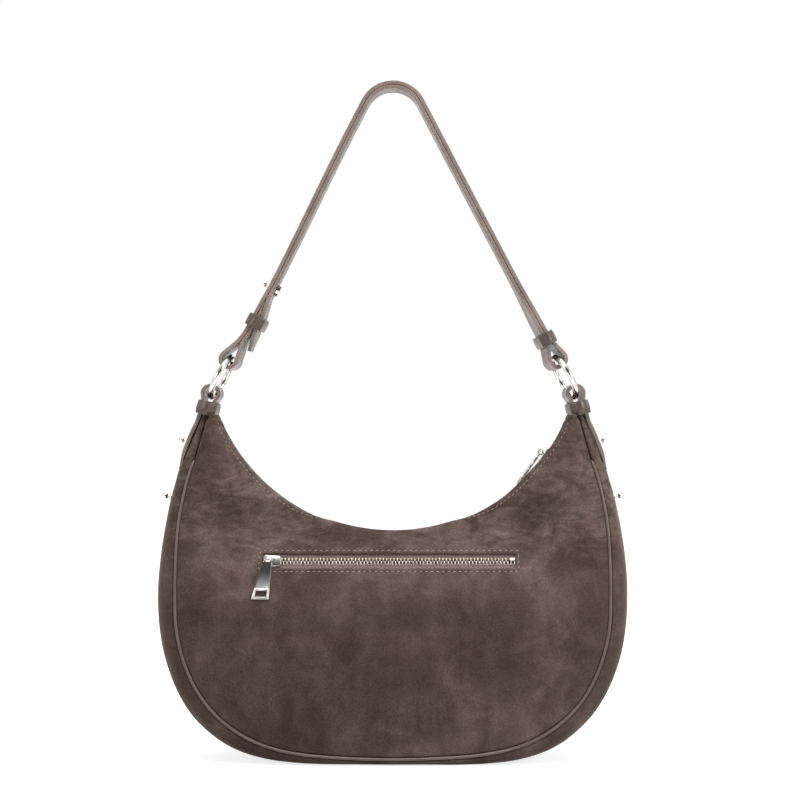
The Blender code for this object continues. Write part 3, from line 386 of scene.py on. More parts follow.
@dataclass(frozen=True)
class Suede(Finish):
    """Napped suede: cloudy patches where the nap lies one way or the other, over a fine grain, with painted
    light that makes the top, the right side and the outlines at both ends lighter.
    """

    dark: str = "40322c"
    middle: str = "50423c"
    light: str = "6b5b53"
    # lightest stop of the ramp, reached where the painted light adds to the lighter nap patches
    worn: str = "86766d"
    cloud_scale: float = 17.0
    patch_scale: float = 52.0
    grain_scale: float = 900.0
    fibre_scale: float = 2600.0
    grain_height: float = 0.00022
    fibre_height: float = 0.00010
    # painted light: how much lighter the suede is painted towards the top
    painted_top_light_amount: float = 0.030
    # painted light: how much lighter the suede is painted towards the right
    painted_right_light: float = 0.026
    # painted light: how much lighter the outlines at both ends of the bag are painted
    painted_rim_light: float = 0.050
    rub: float = 0.55
    cloud_weight: float = 0.48
    patch_weight: float = 0.30
    stroke_weight: float = 0.22
    painted_top_light_heights: tuple[float, float] = (0.100, 0.168)
    worn_half: float = 0.17
    painted_rim_light_places: tuple[float, float] = (0.150, 0.166)
    rub_scale: float = 95.0
    rub_heights: tuple[float, float] = (0.120, 0.170)
    rub_floor: float = 0.12

    def draw(self, sketch: ShaderSketch) -> None:
        """Draws the clouds, the strokes, the grain, the painted light on the top, the right side and the
        outlines, and the sheen.
        """
        cloud = sketch.noise(self.cloud_scale, 3, 0.5)
        patch = sketch.noise(self.patch_scale, 4, 0.9)
        stroke = sketch.noise(self.patch_scale, 3, 0.4, sketch.stretched(sketch.place, (1.6, 1.6, 0.5), 0.7))
        total = sketch.math("MULTIPLY", cloud, self.cloud_weight)
        for pattern, weight in ((patch, self.patch_weight), (stroke, self.stroke_weight)):
            total = sketch.math("ADD", total, sketch.math("MULTIPLY", pattern, weight))
        parts = sketch.add("ShaderNodeSeparateXYZ", {0: sketch.place})
        along, height = parts.outputs["X"], parts.outputs["Z"]
        # painted light: the suede is painted lighter higher up, as if lit from above
        painted_top_light = sketch.spread(height, *self.painted_top_light_heights, -self.painted_top_light_amount, self.painted_top_light_amount)
        # painted light: the suede is painted darker on the left and lighter on the right, as if lit more from
        # the right
        worn = sketch.spread(along, -self.worn_half, self.worn_half, -self.painted_right_light, self.painted_right_light)
        # painted light: the gusset's outlines at both ends are painted lighter, standing in for rim light
        edges = sketch.spread(sketch.math("ABSOLUTE", along), *self.painted_rim_light_places, 0.0, self.painted_rim_light)
        rubbed = sketch.noise(self.rub_scale, 4, 1.4, sketch.stretched(sketch.place, (0.55, 1.0, 1.5), 0.15))
        rubbed = sketch.math("MULTIPLY", sketch.math("SUBTRACT", rubbed, 0.5), self.rub)
        rub_share = sketch.spread(height, *self.rub_heights, self.rub_floor, 1.0)
        rubbed = sketch.math("MULTIPLY", rubbed, rub_share)
        for part in (painted_top_light, worn, edges, rubbed):
            total = sketch.math("ADD", total, part)
        stops = [(0.34, self.dark), (0.49, self.middle), (0.66, self.light), (0.84, self.worn)]
        colour = sketch.ramp(total, stops)
        grain = sketch.noise(self.grain_scale, 2)
        fibre = sketch.noise(self.fibre_scale, 1)
        speckle = sketch.spread(grain, 0.3, 0.7, 0.78, 1.16)
        grey = sketch.add("ShaderNodeCombineColor", {0: speckle, 1: speckle, 2: speckle}).outputs[0]
        colour = sketch.product(colour, grey)
        coarse = sketch.bump(grain, 0.5, self.grain_height)
        normal = sketch.bump(fibre, 0.5, self.fibre_height, coarse)
        sketch.dress(Base_Color=colour, Roughness=0.95, Normal=normal, Specular_IOR_Level=0.12)
        sketch.dress(Sheen_Weight=0.46, Sheen_Roughness=0.36, Sheen_Tint=linear("b09c94"))


@dataclass(frozen=True)
class Leather(Finish):
    """Smooth leather with fine pores and a soft change of tone."""

    shade: str = "6b5a55"
    tint: str = "7b6963"
    roughness: float = 0.42
    pore_scale: float = 1500.0
    pore_height: float = 0.00005
    tone_scale: float = 38.0
    crease_scale: float = 260.0
    gloss_scale: float = 120.0

    def draw(self, sketch: ShaderSketch) -> None:
        """Draws the tone, the pores and the wear."""
        tone = sketch.noise(self.tone_scale, 3, 0.3)
        inputs = {"Vector": sketch.place, "Scale": self.pore_scale}
        pores = sketch.add("ShaderNodeTexVoronoi", inputs).outputs["Distance"]
        colour = sketch.tones(tone, self.shade, self.tint, 0.35, 0.65)
        normal = sketch.bump(pores, 0.35, self.pore_height)
        normal = sketch.bump(sketch.noise(self.crease_scale, 3), 0.25, self.pore_height * 2, normal)
        gloss = sketch.noise(self.gloss_scale, 2)
        rough = sketch.spread(gloss, 0.3, 0.7, self.roughness - 0.06, self.roughness + 0.08)
        sketch.dress(Base_Color=colour, Roughness=rough, Normal=normal, Specular_IOR_Level=0.45)


@dataclass(frozen=True)
class CutEdge(Finish):
    """The painted cut edge of leather, smooth with a slow change of tone."""

    shade: str = "7c6c65"
    tint: str = "8c7c74"
    tone_scale: float = 70.0
    roughness: float = 0.45

    def draw(self, sketch: ShaderSketch) -> None:
        """Draws the paint, a little uneven in tone and gloss."""
        paint = sketch.noise(self.tone_scale, 2)
        colour = sketch.tones(paint, self.shade, self.tint)
        rough = sketch.spread(paint, 0.3, 0.7, self.roughness, self.roughness + 0.12)
        sketch.dress(Base_Color=colour, Roughness=rough, Specular_IOR_Level=0.4)


@dataclass(frozen=True)
class Metal(Finish):
    """Bright plated metal with faint polishing marks."""

    shade: str = "c9c6c0"
    roughness: float = 0.11
    tint: str = "e4e2dd"
    marks_scale: float = 600.0
    marks_height: float = 0.00003
    tone_scale: float = 90.0

    def draw(self, sketch: ShaderSketch) -> None:
        """Draws the plating and its marks."""
        marks = sketch.noise(self.marks_scale, 3, 0.0, sketch.stretched(sketch.place, (1, 3, 1)))
        rough = sketch.spread(marks, 0.3, 0.75, self.roughness * 0.7, self.roughness * 1.6)
        tone = sketch.tones(sketch.noise(self.tone_scale, 2), self.shade, self.tint)
        normal = sketch.bump(marks, 0.08, self.marks_height)
        sketch.dress(Base_Color=tone, Metallic=1.0, Roughness=rough, Normal=normal)


@dataclass(frozen=True)
class Weave(Finish):
    """Cloth woven on the piece's own surface coordinates, in metres."""

    shade: str = "5b4a46"
    tint: str = "7c6762"
    threads: float = 2200.0
    relief: float = 0.00008
    slub_scale: float = 500.0

    def draw(self, sketch: ShaderSketch) -> None:
        """Draws the two sets of threads."""
        waves = []
        for direction, shift in (("X", 0.0), ("Y", math.pi)):
            inputs = {"Vector": sketch.surface_place, "Scale": self.threads / math.tau, "Phase Offset": shift}
            node = sketch.add("ShaderNodeTexWave", inputs, bands_direction=direction, wave_type="BANDS")
            waves.append(node.outputs["Fac"])
        threads = sketch.math("MULTIPLY", *waves)
        slub = sketch.noise(self.slub_scale, 2)
        tone = sketch.math("ADD", sketch.math("MULTIPLY", threads, 0.6), sketch.math("MULTIPLY", slub, 0.4))
        colour = sketch.tones(tone, self.shade, self.tint, 0.15, 0.6)
        sketch.dress(Base_Color=colour, Roughness=0.85, Normal=sketch.bump(threads, 0.5, self.relief))
        sketch.dress(Sheen_Weight=0.15, Sheen_Roughness=0.5)


@dataclass(frozen=True)
class Thread(Finish):
    """Twisted sewing thread."""

    shade: str = "86746c"
    tint: str = "a8978d"
    twist_scale: float = 2400.0
    twist_height: float = 0.0001

    def draw(self, sketch: ShaderSketch) -> None:
        """Draws the twist."""
        twist = sketch.noise(self.twist_scale, 2, 0.0, sketch.stretched(sketch.place, (1.0, 0.4, 0.5), 0.8))
        colour = sketch.tones(twist, self.shade, self.tint)
        sketch.dress(Base_Color=colour, Roughness=0.7, Normal=sketch.bump(twist, 0.4, self.twist_height))


@dataclass(frozen=True)
class HoleShade(Finish):
    """Painted shade: a dark spot where a stitch goes in, standing in for the shadow in the needle hole."""

    shade: str = "261c19"
    tint: str = "382c28"
    nap_scale: float = 3000.0

    def draw(self, sketch: ShaderSketch) -> None:
        """Draws the painted shade, a little mottled."""
        colour = sketch.tones(sketch.noise(self.nap_scale, 2), self.shade, self.tint)
        sketch.dress(Base_Color=colour, Roughness=1.0)


@dataclass(frozen=True)
class Board(Finish):
    """Grey pulp board."""

    shade: str = "3c3835"
    tint: str = "58524d"
    pulp_scale: float = 500.0
    pulp_height: float = 0.0002

    def draw(self, sketch: ShaderSketch) -> None:
        """Draws the pulp."""
        pulp = sketch.noise(self.pulp_scale, 4)
        colour = sketch.tones(pulp, self.shade, self.tint)
        sketch.dress(Base_Color=colour, Roughness=0.9, Normal=sketch.bump(pulp, 0.4, self.pulp_height))


SUEDE = Suede("suede_nap")
# painted light: the same leather as the keepers, painted lighter for the light that the strap's and the tabs'
# grazing faces catch
LIGHTENED_LEATHER = Leather("strap_leather_painted_lighter", "74665e", "83756d", 0.34)
BAND_LEATHER = Leather("keeper_smooth_leather", "4c3e38", "584943", 0.32)
PIPING_LEATHER = Leather("piping_leather", "57483f", "66574f", 0.36)
EDGE = CutEdge("painted_edge")
NICKEL = Metal("polished_nickel")
TEETH_METAL = Metal("zip_teeth_metal", "9a8f83", 0.36, "bab0a3")
STOP_METAL = Metal("pressed_stop_metal", "d8d0c5", 0.60)
BRUSHED = Metal("brushed_nickel", "d6d2ca", 0.42)
TAPE_WEAVE = Weave("zip_tape_weave", "6d5a56", "8f7973", 5200.0)
LINING_WEAVE = Weave("lining_weave", "332926", "4b3f3a", 2600.0)
THREAD = Thread("sewing_thread")
# painted shade: the dark of the needle holes
HOLE_SHADE = HoleShade("needle_holes")
BOARD = Board("pulp_board")


# Mesh making


@dataclass(frozen=True)
class Piece:
    """How a finished mesh is named and what it belongs to."""

    name: str
    body: Body
    slot: str
    replaced: tuple[str, ...] = ()

    def show(self, bm: Mesh, *finishes: Finish) -> Item:
        """Turns a bmesh into a smoothly shaded piece that rides on its body.

        Args:
            bm: The finished mesh, which is freed.
            finishes: The finishes of its material slots, in order.

        Returns:
            The new object.
        """
        mesh = bpy.data.meshes.new(self.name)
        bm.to_mesh(mesh)
        bm.free()
        for finish in finishes:
            mesh.materials.append(finish.material())
        mesh.shade_smooth()
        item = bpy.data.objects.new(self.name, mesh)
        bpy.context.scene.collection.objects.link(item)
        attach(item, self.body.value)
        if self.replaced:
            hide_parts(*self.replaced)
        LOG.info("%s: %d faces on %s", self.name, len(mesh.polygons), self.body.value)
        return item


def stand_in(node: str, made_of: str, slot: str, body: Body = Body.BAG) -> Piece:
    """The piece that stands for a node, named after it and what it is made of."""
    return Piece(f"{node}_{made_of}", body, slot, (node,))


def thicken(item: Item, thickness: float, offset: float, rim: int = 0, even: bool = True) -> None:
    """Gives a laid sheet its thickness.

    Args:
        item: The sheet's object.
        thickness: The thickness in metres.
        offset: -1 to thicken inwards and 0 to thicken both ways.
        rim: How many material slots on the rim's finish lies.
        even: Whether bends keep the thickness.
    """
    solidify = item.modifiers.new("Thickness", "SOLIDIFY")
    solidify.thickness = thickness
    solidify.offset = offset
    solidify.use_even_offset = even
    solidify.material_offset_rim = rim


def round_edges(item: Item, width: float) -> None:
    """Rounds a piece's sharp edges over a width."""
    bevel = item.modifiers.new("Rounding", "BEVEL")
    bevel.width = width
    bevel.segments = ROUNDING_FACES
    bevel.limit_method = "ANGLE"
    bevel.angle_limit = SHARP_ANGLE


def laid_grid(columns: int, rows: int, place: Place, size: tuple[float, float] = (1.0, 1.0)) -> Mesh:
    """A grid laid over a surface.

    Args:
        columns: Cells along the first direction.
        rows: Cells along the second direction.
        place: The surface, for two shares from 0 to 1.
        size: The sheet's length and width in metres, for its surface coordinates.

    Returns:
        The laid grid.
    """
    bm = bmesh.new()
    layer = bm.loops.layers.uv.new("surface")
    bmesh.ops.create_grid(bm, x_segments=columns, y_segments=rows, size=1, calc_uvs=True)
    for face in bm.faces:
        for loop in face.loops:
            share = loop[layer].uv
            loop[layer].uv = (share.x * size[0], share.y * size[1])
    for vert in bm.verts:
        vert.co = place((vert.co.x + 1) / 2, (vert.co.y + 1) / 2)
    return bm


def face_outwards(bm: Mesh, outward: Vector) -> None:
    """Turns an open sheet's faces to look the way of a direction, on the whole."""
    bm.normal_update()
    total = sum((face.normal * face.calc_area() for face in bm.faces), Vector())
    if total.dot(outward) < 0:
        bmesh.ops.reverse_faces(bm, faces=bm.faces)
        bm.normal_update()


def face_away(bm: Mesh, middle: Vector) -> None:
    """Turns a sheet's faces to look away from a point, on the whole."""
    bm.normal_update()
    if sum((face.calc_center_median() - middle).dot(face.normal) for face in bm.faces) < 0:
        bmesh.ops.reverse_faces(bm, faces=bm.faces)
        bm.normal_update()


def sharp_edges(bm: Mesh, degrees: float) -> list[Edge]:
    """A mesh's edges that are sharper than an angle."""
    return [edge for edge in bm.edges if edge.calc_face_angle(0) > math.radians(degrees)]


def bevelled(bm: Mesh, edges: Sequence[Edge], width: float, segments: int) -> None:
    """Rounds edges of a mesh over a width."""
    bmesh.ops.bevel(bm, geom=edges, offset=width, segments=segments, profile=0.5, affect="EDGES", material=-1)


def turned(bm: Mesh, geom: Sequence[object], steps: int) -> None:
    """Spins a profile once round Z and welds it where it meets itself."""
    bmesh.ops.spin(bm, geom=geom, axis=(0, 0, 1), cent=(0, 0, 0), steps=steps, angle=math.tau, use_merge=True)


def closed(bm: Mesh) -> Mesh:
    """Welds a mesh's doubles, fills its holes and turns its faces outwards."""
    bmesh.ops.remove_doubles(bm, verts=bm.verts, dist=MERGE)
    bmesh.ops.holes_fill(bm, edges=[edge for edge in bm.edges if edge.is_boundary], sides=0)
    bmesh.ops.recalc_face_normals(bm, faces=bm.faces)
    return bm


def laid_tube(path: Sequence[Vector], radius: float, rounds: int) -> Mesh:
    """A closed tube along a path.

    Args:
        path: The points of its middle line.
        radius: The tube's radius.
        rounds: Faces round the tube.

    Returns:
        The capped tube.
    """
    last = len(path) - 1
    axes = []
    side = Vector((0, 1, 0))
    for index in range(last + 1):
        along = (path[min(index + 1, last)] - path[max(index - 1, 0)]).normalized()
        side = (side - along * side.dot(along)).normalized()
        axes.append((side.copy(), along.cross(side)))

    def place(a: float, b: float) -> Vector:
        """Point on the tube's skin."""
        index = round(a * last)
        first, second = axes[index]
        angle = math.tau * b
        return path[index] + (first * math.cos(angle) + second * math.sin(angle)) * radius

    return closed(laid_grid(last, rounds, place))


def spun(profile: Sequence[tuple[float, float]], matrix: Matrix, steps: int) -> Mesh:
    """A turned piece.

    Args:
        profile: Radius and height of each point, top to bottom.
        matrix: Where its Z axis stands.
        steps: Faces round it.

    Returns:
        The closed turned mesh.
    """
    bm = bmesh.new()
    verts = [bm.verts.new((radius, 0, height)) for radius, height in profile]
    edges = [bm.edges.new(pair) for pair in zip(verts, verts[1:])]
    turned(bm, verts + edges, steps)
    bmesh.ops.transform(bm, matrix=matrix, verts=bm.verts)
    return closed(bm)


def block(size: Sequence[float], matrix: Matrix, width: float, segments: int = 2) -> Mesh:
    """A block with rounded edges.

    Args:
        size: Its sizes along X, Y and Z.
        matrix: Where it stands.
        width: Width of the rounding.
        segments: Faces across the rounding.

    Returns:
        The block's mesh.
    """
    bm = bmesh.new()
    bmesh.ops.create_cube(bm, size=1)
    bmesh.ops.scale(bm, vec=Vector(size), verts=bm.verts)
    bevelled(bm, list(bm.edges), width, segments)
    bmesh.ops.transform(bm, matrix=matrix, verts=bm.verts)
    return bm


def merged(meshes: Sequence[Mesh]) -> Mesh:
    """Several meshes as one.

    Args:
        meshes: The meshes, which are freed.

    Returns:
        One mesh that holds them all.
    """
    whole = bmesh.new()
    for part in meshes:
        shape = bpy.data.meshes.new("part")
        part.to_mesh(shape)
        part.free()
        whole.from_mesh(shape)
        bpy.data.meshes.remove(shape)
    return whole


# Form of the bag


@dataclass(frozen=True)
class BagForm:
    """The bag's driving sizes and the surfaces that they make."""

    half_width: float = 0.170
    half_depth: float = 0.040
    horn_height: float = 0.246
    horn_half: float = 0.012
    mouth_height: float = 0.161
    bulge: float = 0.006
    suede: float = 0.0018
    lining: float = 0.0008
    lining_gap: float = 0.0011
    fit_gap: float = 0.0003
    seam_gap: float = 0.0004
    piping_radius: float = 0.0011
    mouth_end: tuple[float, float] = (0.125205, 0.24354)
    belly_rise: float = 0.62
    pocket_height: float = 0.1425
    pocket_centre: float = -0.0024
    pocket_length: float = 0.1804
    pocket_opening: float = 0.0105
    pocket_tilt: float = math.radians(24.0)
    pocket_depth: float = 0.0232
    pocket_margin: float = 0.016
    pocket_fade: float = 0.034
    pocket_edge: float = 0.055
    normal_step: float = 0.002
    halvings: int = 24
    outline: tuple[tuple[float, ...], ...] = (
        (0.788, 0.996, 0.807, 1.000, 0.000, 1.0),
        (0.808, 0.943, 0.850, 0.939, 0.036, 1.0),
        (0.831, 0.886, 0.884, 0.878, 0.107, 1.0),
        (0.862, 0.821, 0.919, 0.817, 0.214, 1.0),
        (0.885, 0.748, 0.948, 0.748, 0.339, 1.0),
        (0.901, 0.667, 0.973, 0.663, 0.482, 1.0),
        (0.906, 0.577, 0.992, 0.573, 0.625, 1.0),
        (0.906, 0.488, 1.000, 0.486, 0.750, 1.0),
        (0.899, 0.394, 0.993, 0.390, 0.857, 1.0),
        (0.868, 0.301, 0.968, 0.293, 0.929, 1.0),
        (0.812, 0.215, 0.916, 0.195, 0.964, 1.0),
        (0.732, 0.144, 0.832, 0.112, 0.982, 1.2),
        (0.624, 0.087, 0.703, 0.043, 1.000, 1.4),
        (0.500, 0.050, 0.547, 0.008, 1.000, 1.8),
        (0.353, 0.030, 0.365, -0.004, 1.000, 2.2),
        (0.176, 0.021, 0.176, -0.004, 1.000, 2.5),
        (0.000, 0.018, 0.000, -0.004, 1.000, 2.5),
    )

    @property
    def mouth_radius(self) -> float:
        """Radius of the mouth's arc."""
        rise = self.mouth_end[1] - self.mouth_height
        return (self.mouth_end[0] ** 2 + rise**2) / (2 * rise)

    @property
    def mouth_centre_z(self) -> float:
        """Height of the middle of the mouth's arc."""
        return self.mouth_height + self.mouth_radius

    @property
    def mouth_angle(self) -> float:
        """Angle from straight down to the mouth's end."""
        return math.atan2(self.mouth_end[0], self.mouth_centre_z - self.mouth_end[1])

    @property
    def pocket_frame(self) -> Matrix:
        """Frame of the pocket's window: X along it, Y up its slope and Z out of the bag."""
        slope = Vector((0, math.sin(self.pocket_tilt), math.cos(self.pocket_tilt)))
        origin = Vector((self.pocket_centre, -self.pocket_depth, self.pocket_height))
        return frame_matrix(origin, Vector((1, 0, 0)), slope)

    @lru_cache(maxsize=None)
    def station(self, u: float) -> tuple[Vector, Vector, float, float]:
        """The girth at a share of its way from the left horn round the base to the right horn.

        Args:
            u: The share, from 0 to 1.

        Returns:
            Seam point, side point, half depth and squareness of the gusset.
        """
        left = [(-row[0], row[1], -row[2], *row[3:]) for row in self.outline]
        rows = left + list(reversed(self.outline[:-1]))
        seam_x, seam_z, side_x, side_z, depth, square = catmull_rom(rows, u)
        seam = Vector((seam_x * self.half_width, seam_z * self.horn_height))
        side = Vector((side_x * self.half_width, side_z * self.horn_height))
        return seam, side, lerp(self.horn_half, self.half_depth, depth), square

    def mouth_point(self, angle: float, inset: float = 0.0) -> Vector:
        """Point on the mouth's arc, by its angle from straight down and its inset below the edge."""
        radius = self.mouth_radius + inset
        return Vector((radius * math.sin(angle), self.mouth_centre_z - radius * math.cos(angle)))

    def mouth_at(self, u: float) -> Vector:
        """The mouth's point that faces a share of the girth."""
        return self.mouth_point(lerp(-self.mouth_angle, self.mouth_angle, u))

    def reach(self, u: float) -> float:
        """Distance from the mouth to the seam."""
        return (self.station(u)[0] - self.mouth_at(u)).length

    def pocket_share(self, x: float, z: float, v: float) -> float:
        """How far a panel point belongs to the flat field round the pocket."""
        beyond_x = abs(x - self.pocket_centre) - self.pocket_length / 2 - self.pocket_margin
        beyond_z = abs(z - self.pocket_height) - self.pocket_margin
        flat = smooth_share(1 - beyond_x / self.pocket_fade) * smooth_share(1 - beyond_z / self.pocket_fade)
        return flat * smooth_share(v / self.pocket_edge)

    def panel(self, u: float, v: float) -> Vector:
        """Outer face of the back panel.

        Args:
            u: Share of the girth.
            v: Share of the way from the mouth to the seam.

        Returns:
            The point in space.
        """
        seam, _, half_depth, _ = self.station(u)
        point = self.mouth_at(u).lerp(seam, v)
        swell = self.bulge * math.sin(math.pi * v)
        free = lerp(self.horn_half, half_depth, max(v, 0.0) ** self.belly_rise) + swell
        flat = self.pocket_depth + (self.pocket_height - point.y) * math.tan(self.pocket_tilt)
        depth = lerp(free, flat, self.pocket_share(point.x, point.y, v))
        return Vector((point.x, -depth, point.y))

    def gusset(self, u: float, turn: float, lift: float) -> Vector:
        """Outer face of the gusset.

        Args:
            u: Share of the girth.
            turn: From -1 at the back seam to 1 at the front seam.
            lift: How far off the seam the edge starts.

        Returns:
            The point in space.
        """
        seam, side, half_depth, square = self.station(u)
        share = lift / (side - seam).length
        angle = math.acos(min(share, 1) ** square) * turn
        out = max(math.cos(angle), 0) ** (1 / square)
        across = math.copysign(abs(math.sin(angle)) ** (1 / square), turn)
        point = seam.lerp(side, out)
        return Vector((point.x, half_depth * across, max(point.y, 0)))

    def gusset_middle(self, u: float, outward: float) -> tuple[Vector, Vector]:
        """Point off the gusset's middle line in the plane of the bag.

        Args:
            u: Share of the girth.
            outward: Distance off the gusset.

        Returns:
            The point and the outward direction.
        """
        step, lift = self.normal_step, self.piping_radius + self.seam_gap
        ahead = self.gusset(min(u + step, 1), 0, lift)
        along = (ahead - self.gusset(max(u - step, 0), 0, lift)).normalized()
        normal = Vector((along.z, 0, -along.x))
        place = self.gusset(u, 0, lift) + normal * outward
        return Vector((place.x, place.z)), normal


FORM = BagForm()


def shares_at(form: BagForm, point: Vector) -> tuple[float, float]:
    """Shares of the girth and of the way to the seam of a point in the plane of the bag."""
    place, low, high = Vector((point.x, point.z)), 0.0, 1.0
    for _ in range(form.halvings):
        u = (low + high) / 2
        mouth = form.mouth_at(u)
        reach = form.station(u)[0] - mouth
        beyond = reach.x * (place.y - mouth.y) - reach.y * (place.x - mouth.x)
        low, high = (u, high) if beyond > 0 else (low, u)
    return u, (place - mouth).length / reach.length


@dataclass(frozen=True)
class Rigging:
    """The lines that the horn tabs, the rings and the strap follow."""

    form: BagForm = FORM
    leather: float = 0.0026
    run_gap: float = 0.0004
    ring_radius: float = 0.0160
    ring_wire: float = 0.0022
    ring_turns: tuple[float, float] = (math.radians(-5.7), math.radians(10.0))
    ring_seat: float = 0.0040
    loop_hole: float = 0.0046
    loop_drop: float = 0.0020
    loop_neck: float = 0.0130
    horn_tilt: float = math.radians(14.5)
    horn_centre: float = 0.795
    keeper_half: float = 0.00475
    keeper_gap: float = 0.0006
    leg_angle: float = math.radians(62.2816)
    leg_length: float = 0.208667
    crown_radius: float = 0.0252
    strap_top: float = 0.4875
    turn_keep: float = 0.0100
    turn_fade: float = 0.0600
    leg_bow: float = 0.0030
    bow_rise: float = 0.0240
    bow_keep: float = 0.0550
    bow_fade: float = 0.1400
    arc_step: float = math.radians(5.0)
    soft_angle: float = math.radians(6.0)
    soft_steps: int = 8
    strip_rows: int = 8

    @property
    def run_offset(self) -> float:
        """Distance of a run's middle from the leg's line."""
        return (self.leather + self.run_gap) / 2

    @property
    def half_stack(self) -> float:
        """Half the thickness of both runs."""
        return self.run_offset + self.leather / 2

    def ring_turn(self, side: Side) -> float:
        """How far a side's ring is turned about its strap leg."""
        return self.ring_turns[(side.value + 1) // 2]

    def horn_point(self, side: Side, along: float, out: float) -> Vector:
        """Point by its distance along a horn's axis from its keeper's middle, and outwards."""
        sine, cosine = math.sin(self.horn_tilt), math.cos(self.horn_tilt)
        x = self.form.half_width * self.horn_centre - self.keeper_half * sine + out * cosine - along * sine
        z = self.form.horn_height + self.keeper_gap + self.keeper_half * cosine + out * sine + along * cosine
        return Vector((side.value * x, z))

    def horn_axis(self, side: Side) -> Vector:
        """Direction up a horn's axis."""
        return Vector((-side.value * math.sin(self.horn_tilt), 0, math.cos(self.horn_tilt)))

    def horn_outward(self, side: Side) -> Vector:
        """Direction outwards from a horn's axis."""
        return Vector((side.value * math.cos(self.horn_tilt), 0, math.sin(self.horn_tilt)))

    def leg_point(self, side: Side, along: float, out: float) -> Vector:
        """Point by its distance up a strap leg from the ring's top wire, and outwards."""
        foot = self.horn_point(Side.RIGHT, self.keeper_half + self.ring_seat, 0)
        reach = along + 2 * self.ring_radius
        if side is Side.LEFT:
            fall = 1 - smooth_share((along - self.bow_keep) / self.bow_fade)
            out -= self.leg_bow * smooth_share(along / self.bow_rise) * fall
        sine, cosine = math.sin(self.leg_angle), math.cos(self.leg_angle)
        x, z = foot.x - reach * cosine + out * sine, foot.y + reach * sine + out * cosine
        return Vector((side.value * x, z))

    def leg_direction(self, side: Side) -> Vector:
        """Direction up a strap leg."""
        return Vector((-side.value * math.cos(self.leg_angle), 0, math.sin(self.leg_angle)))

    def leg_outward(self, side: Side) -> Vector:
        """Direction outwards from a strap leg."""
        return Vector((side.value * math.sin(self.leg_angle), 0, math.cos(self.leg_angle)))

    def leg_turn(self, side: Side, along: float) -> float:
        """How far the strap is twisted about its leg, fading up from the ring."""
        return self.ring_turn(side) * (1 - smooth_share((along - self.turn_keep) / self.turn_fade))

    def arc(self, centre: Sequence[float], radius: float, start: float, end: float) -> list[Vector]:
        """Points on an arc in the plane of the bag, at even steps."""
        return arc_points(centre, radius, start, end, max(round(abs(end - start) / self.arc_step), 2))

    def softened(self, points: Sequence[Vector], setback: float) -> list[Vector]:
        """A path with its corners rounded off over a setback."""
        result = [points[0]]
        for before, corner, after in zip(points, points[1:], points[2:]):
            arriving, leaving = corner - before, after - corner
            if arriving.angle(leaving) < self.soft_angle:
                result.append(corner)
                continue
            start = corner - arriving.normalized() * min(setback, arriving.length / 2)
            end = corner + leaving.normalized() * min(setback, leaving.length / 2)
            for step in range(self.soft_steps + 1):
                share = step / self.soft_steps
                result.append(start.lerp(corner, share).lerp(corner.lerp(end, share), share))
        return result + [points[-1]]

    def strip(self, path: Sequence[Vector], half_width: float, place: StripPlace) -> Mesh:
        """A leather strip's middle sheet along a path.

        Args:
            path: Its middle line in the plane of the bag.
            half_width: Half its width.
            place: Where each point of the path goes, by its number and its Y.

        Returns:
            The sheet, which is thickened both ways later.
        """
        last = len(path) - 1
        length = sum((b - a).length for a, b in zip(path, path[1:]))

        def point(a: float, b: float) -> Vector:
            """Point on the strip's middle sheet."""
            index = round(a * last)
            return place(index, path[index], lerp(-half_width, half_width, b))

        return laid_grid(last, self.strip_rows, point, (length, 2 * half_width))

    def skive(self, item: Item, rows: Sequence[float]) -> None:
        """Thins a strip's first end.

        Args:
            item: The strip's object, thickened before.
            rows: Share of the thickness at each of the first places along it.
        """
        group = item.vertex_groups.new(name="skived")
        across = self.strip_rows + 1
        last = len(item.data.vertices) // across
        for index in range(last):
            share = rows[index] if index < len(rows) else 1.0
            group.add([index + last * row for row in range(across)], share, "REPLACE")
        item.modifiers["Thickness"].vertex_group = group.name


RIGGING = Rigging()


# Sub-assemblies


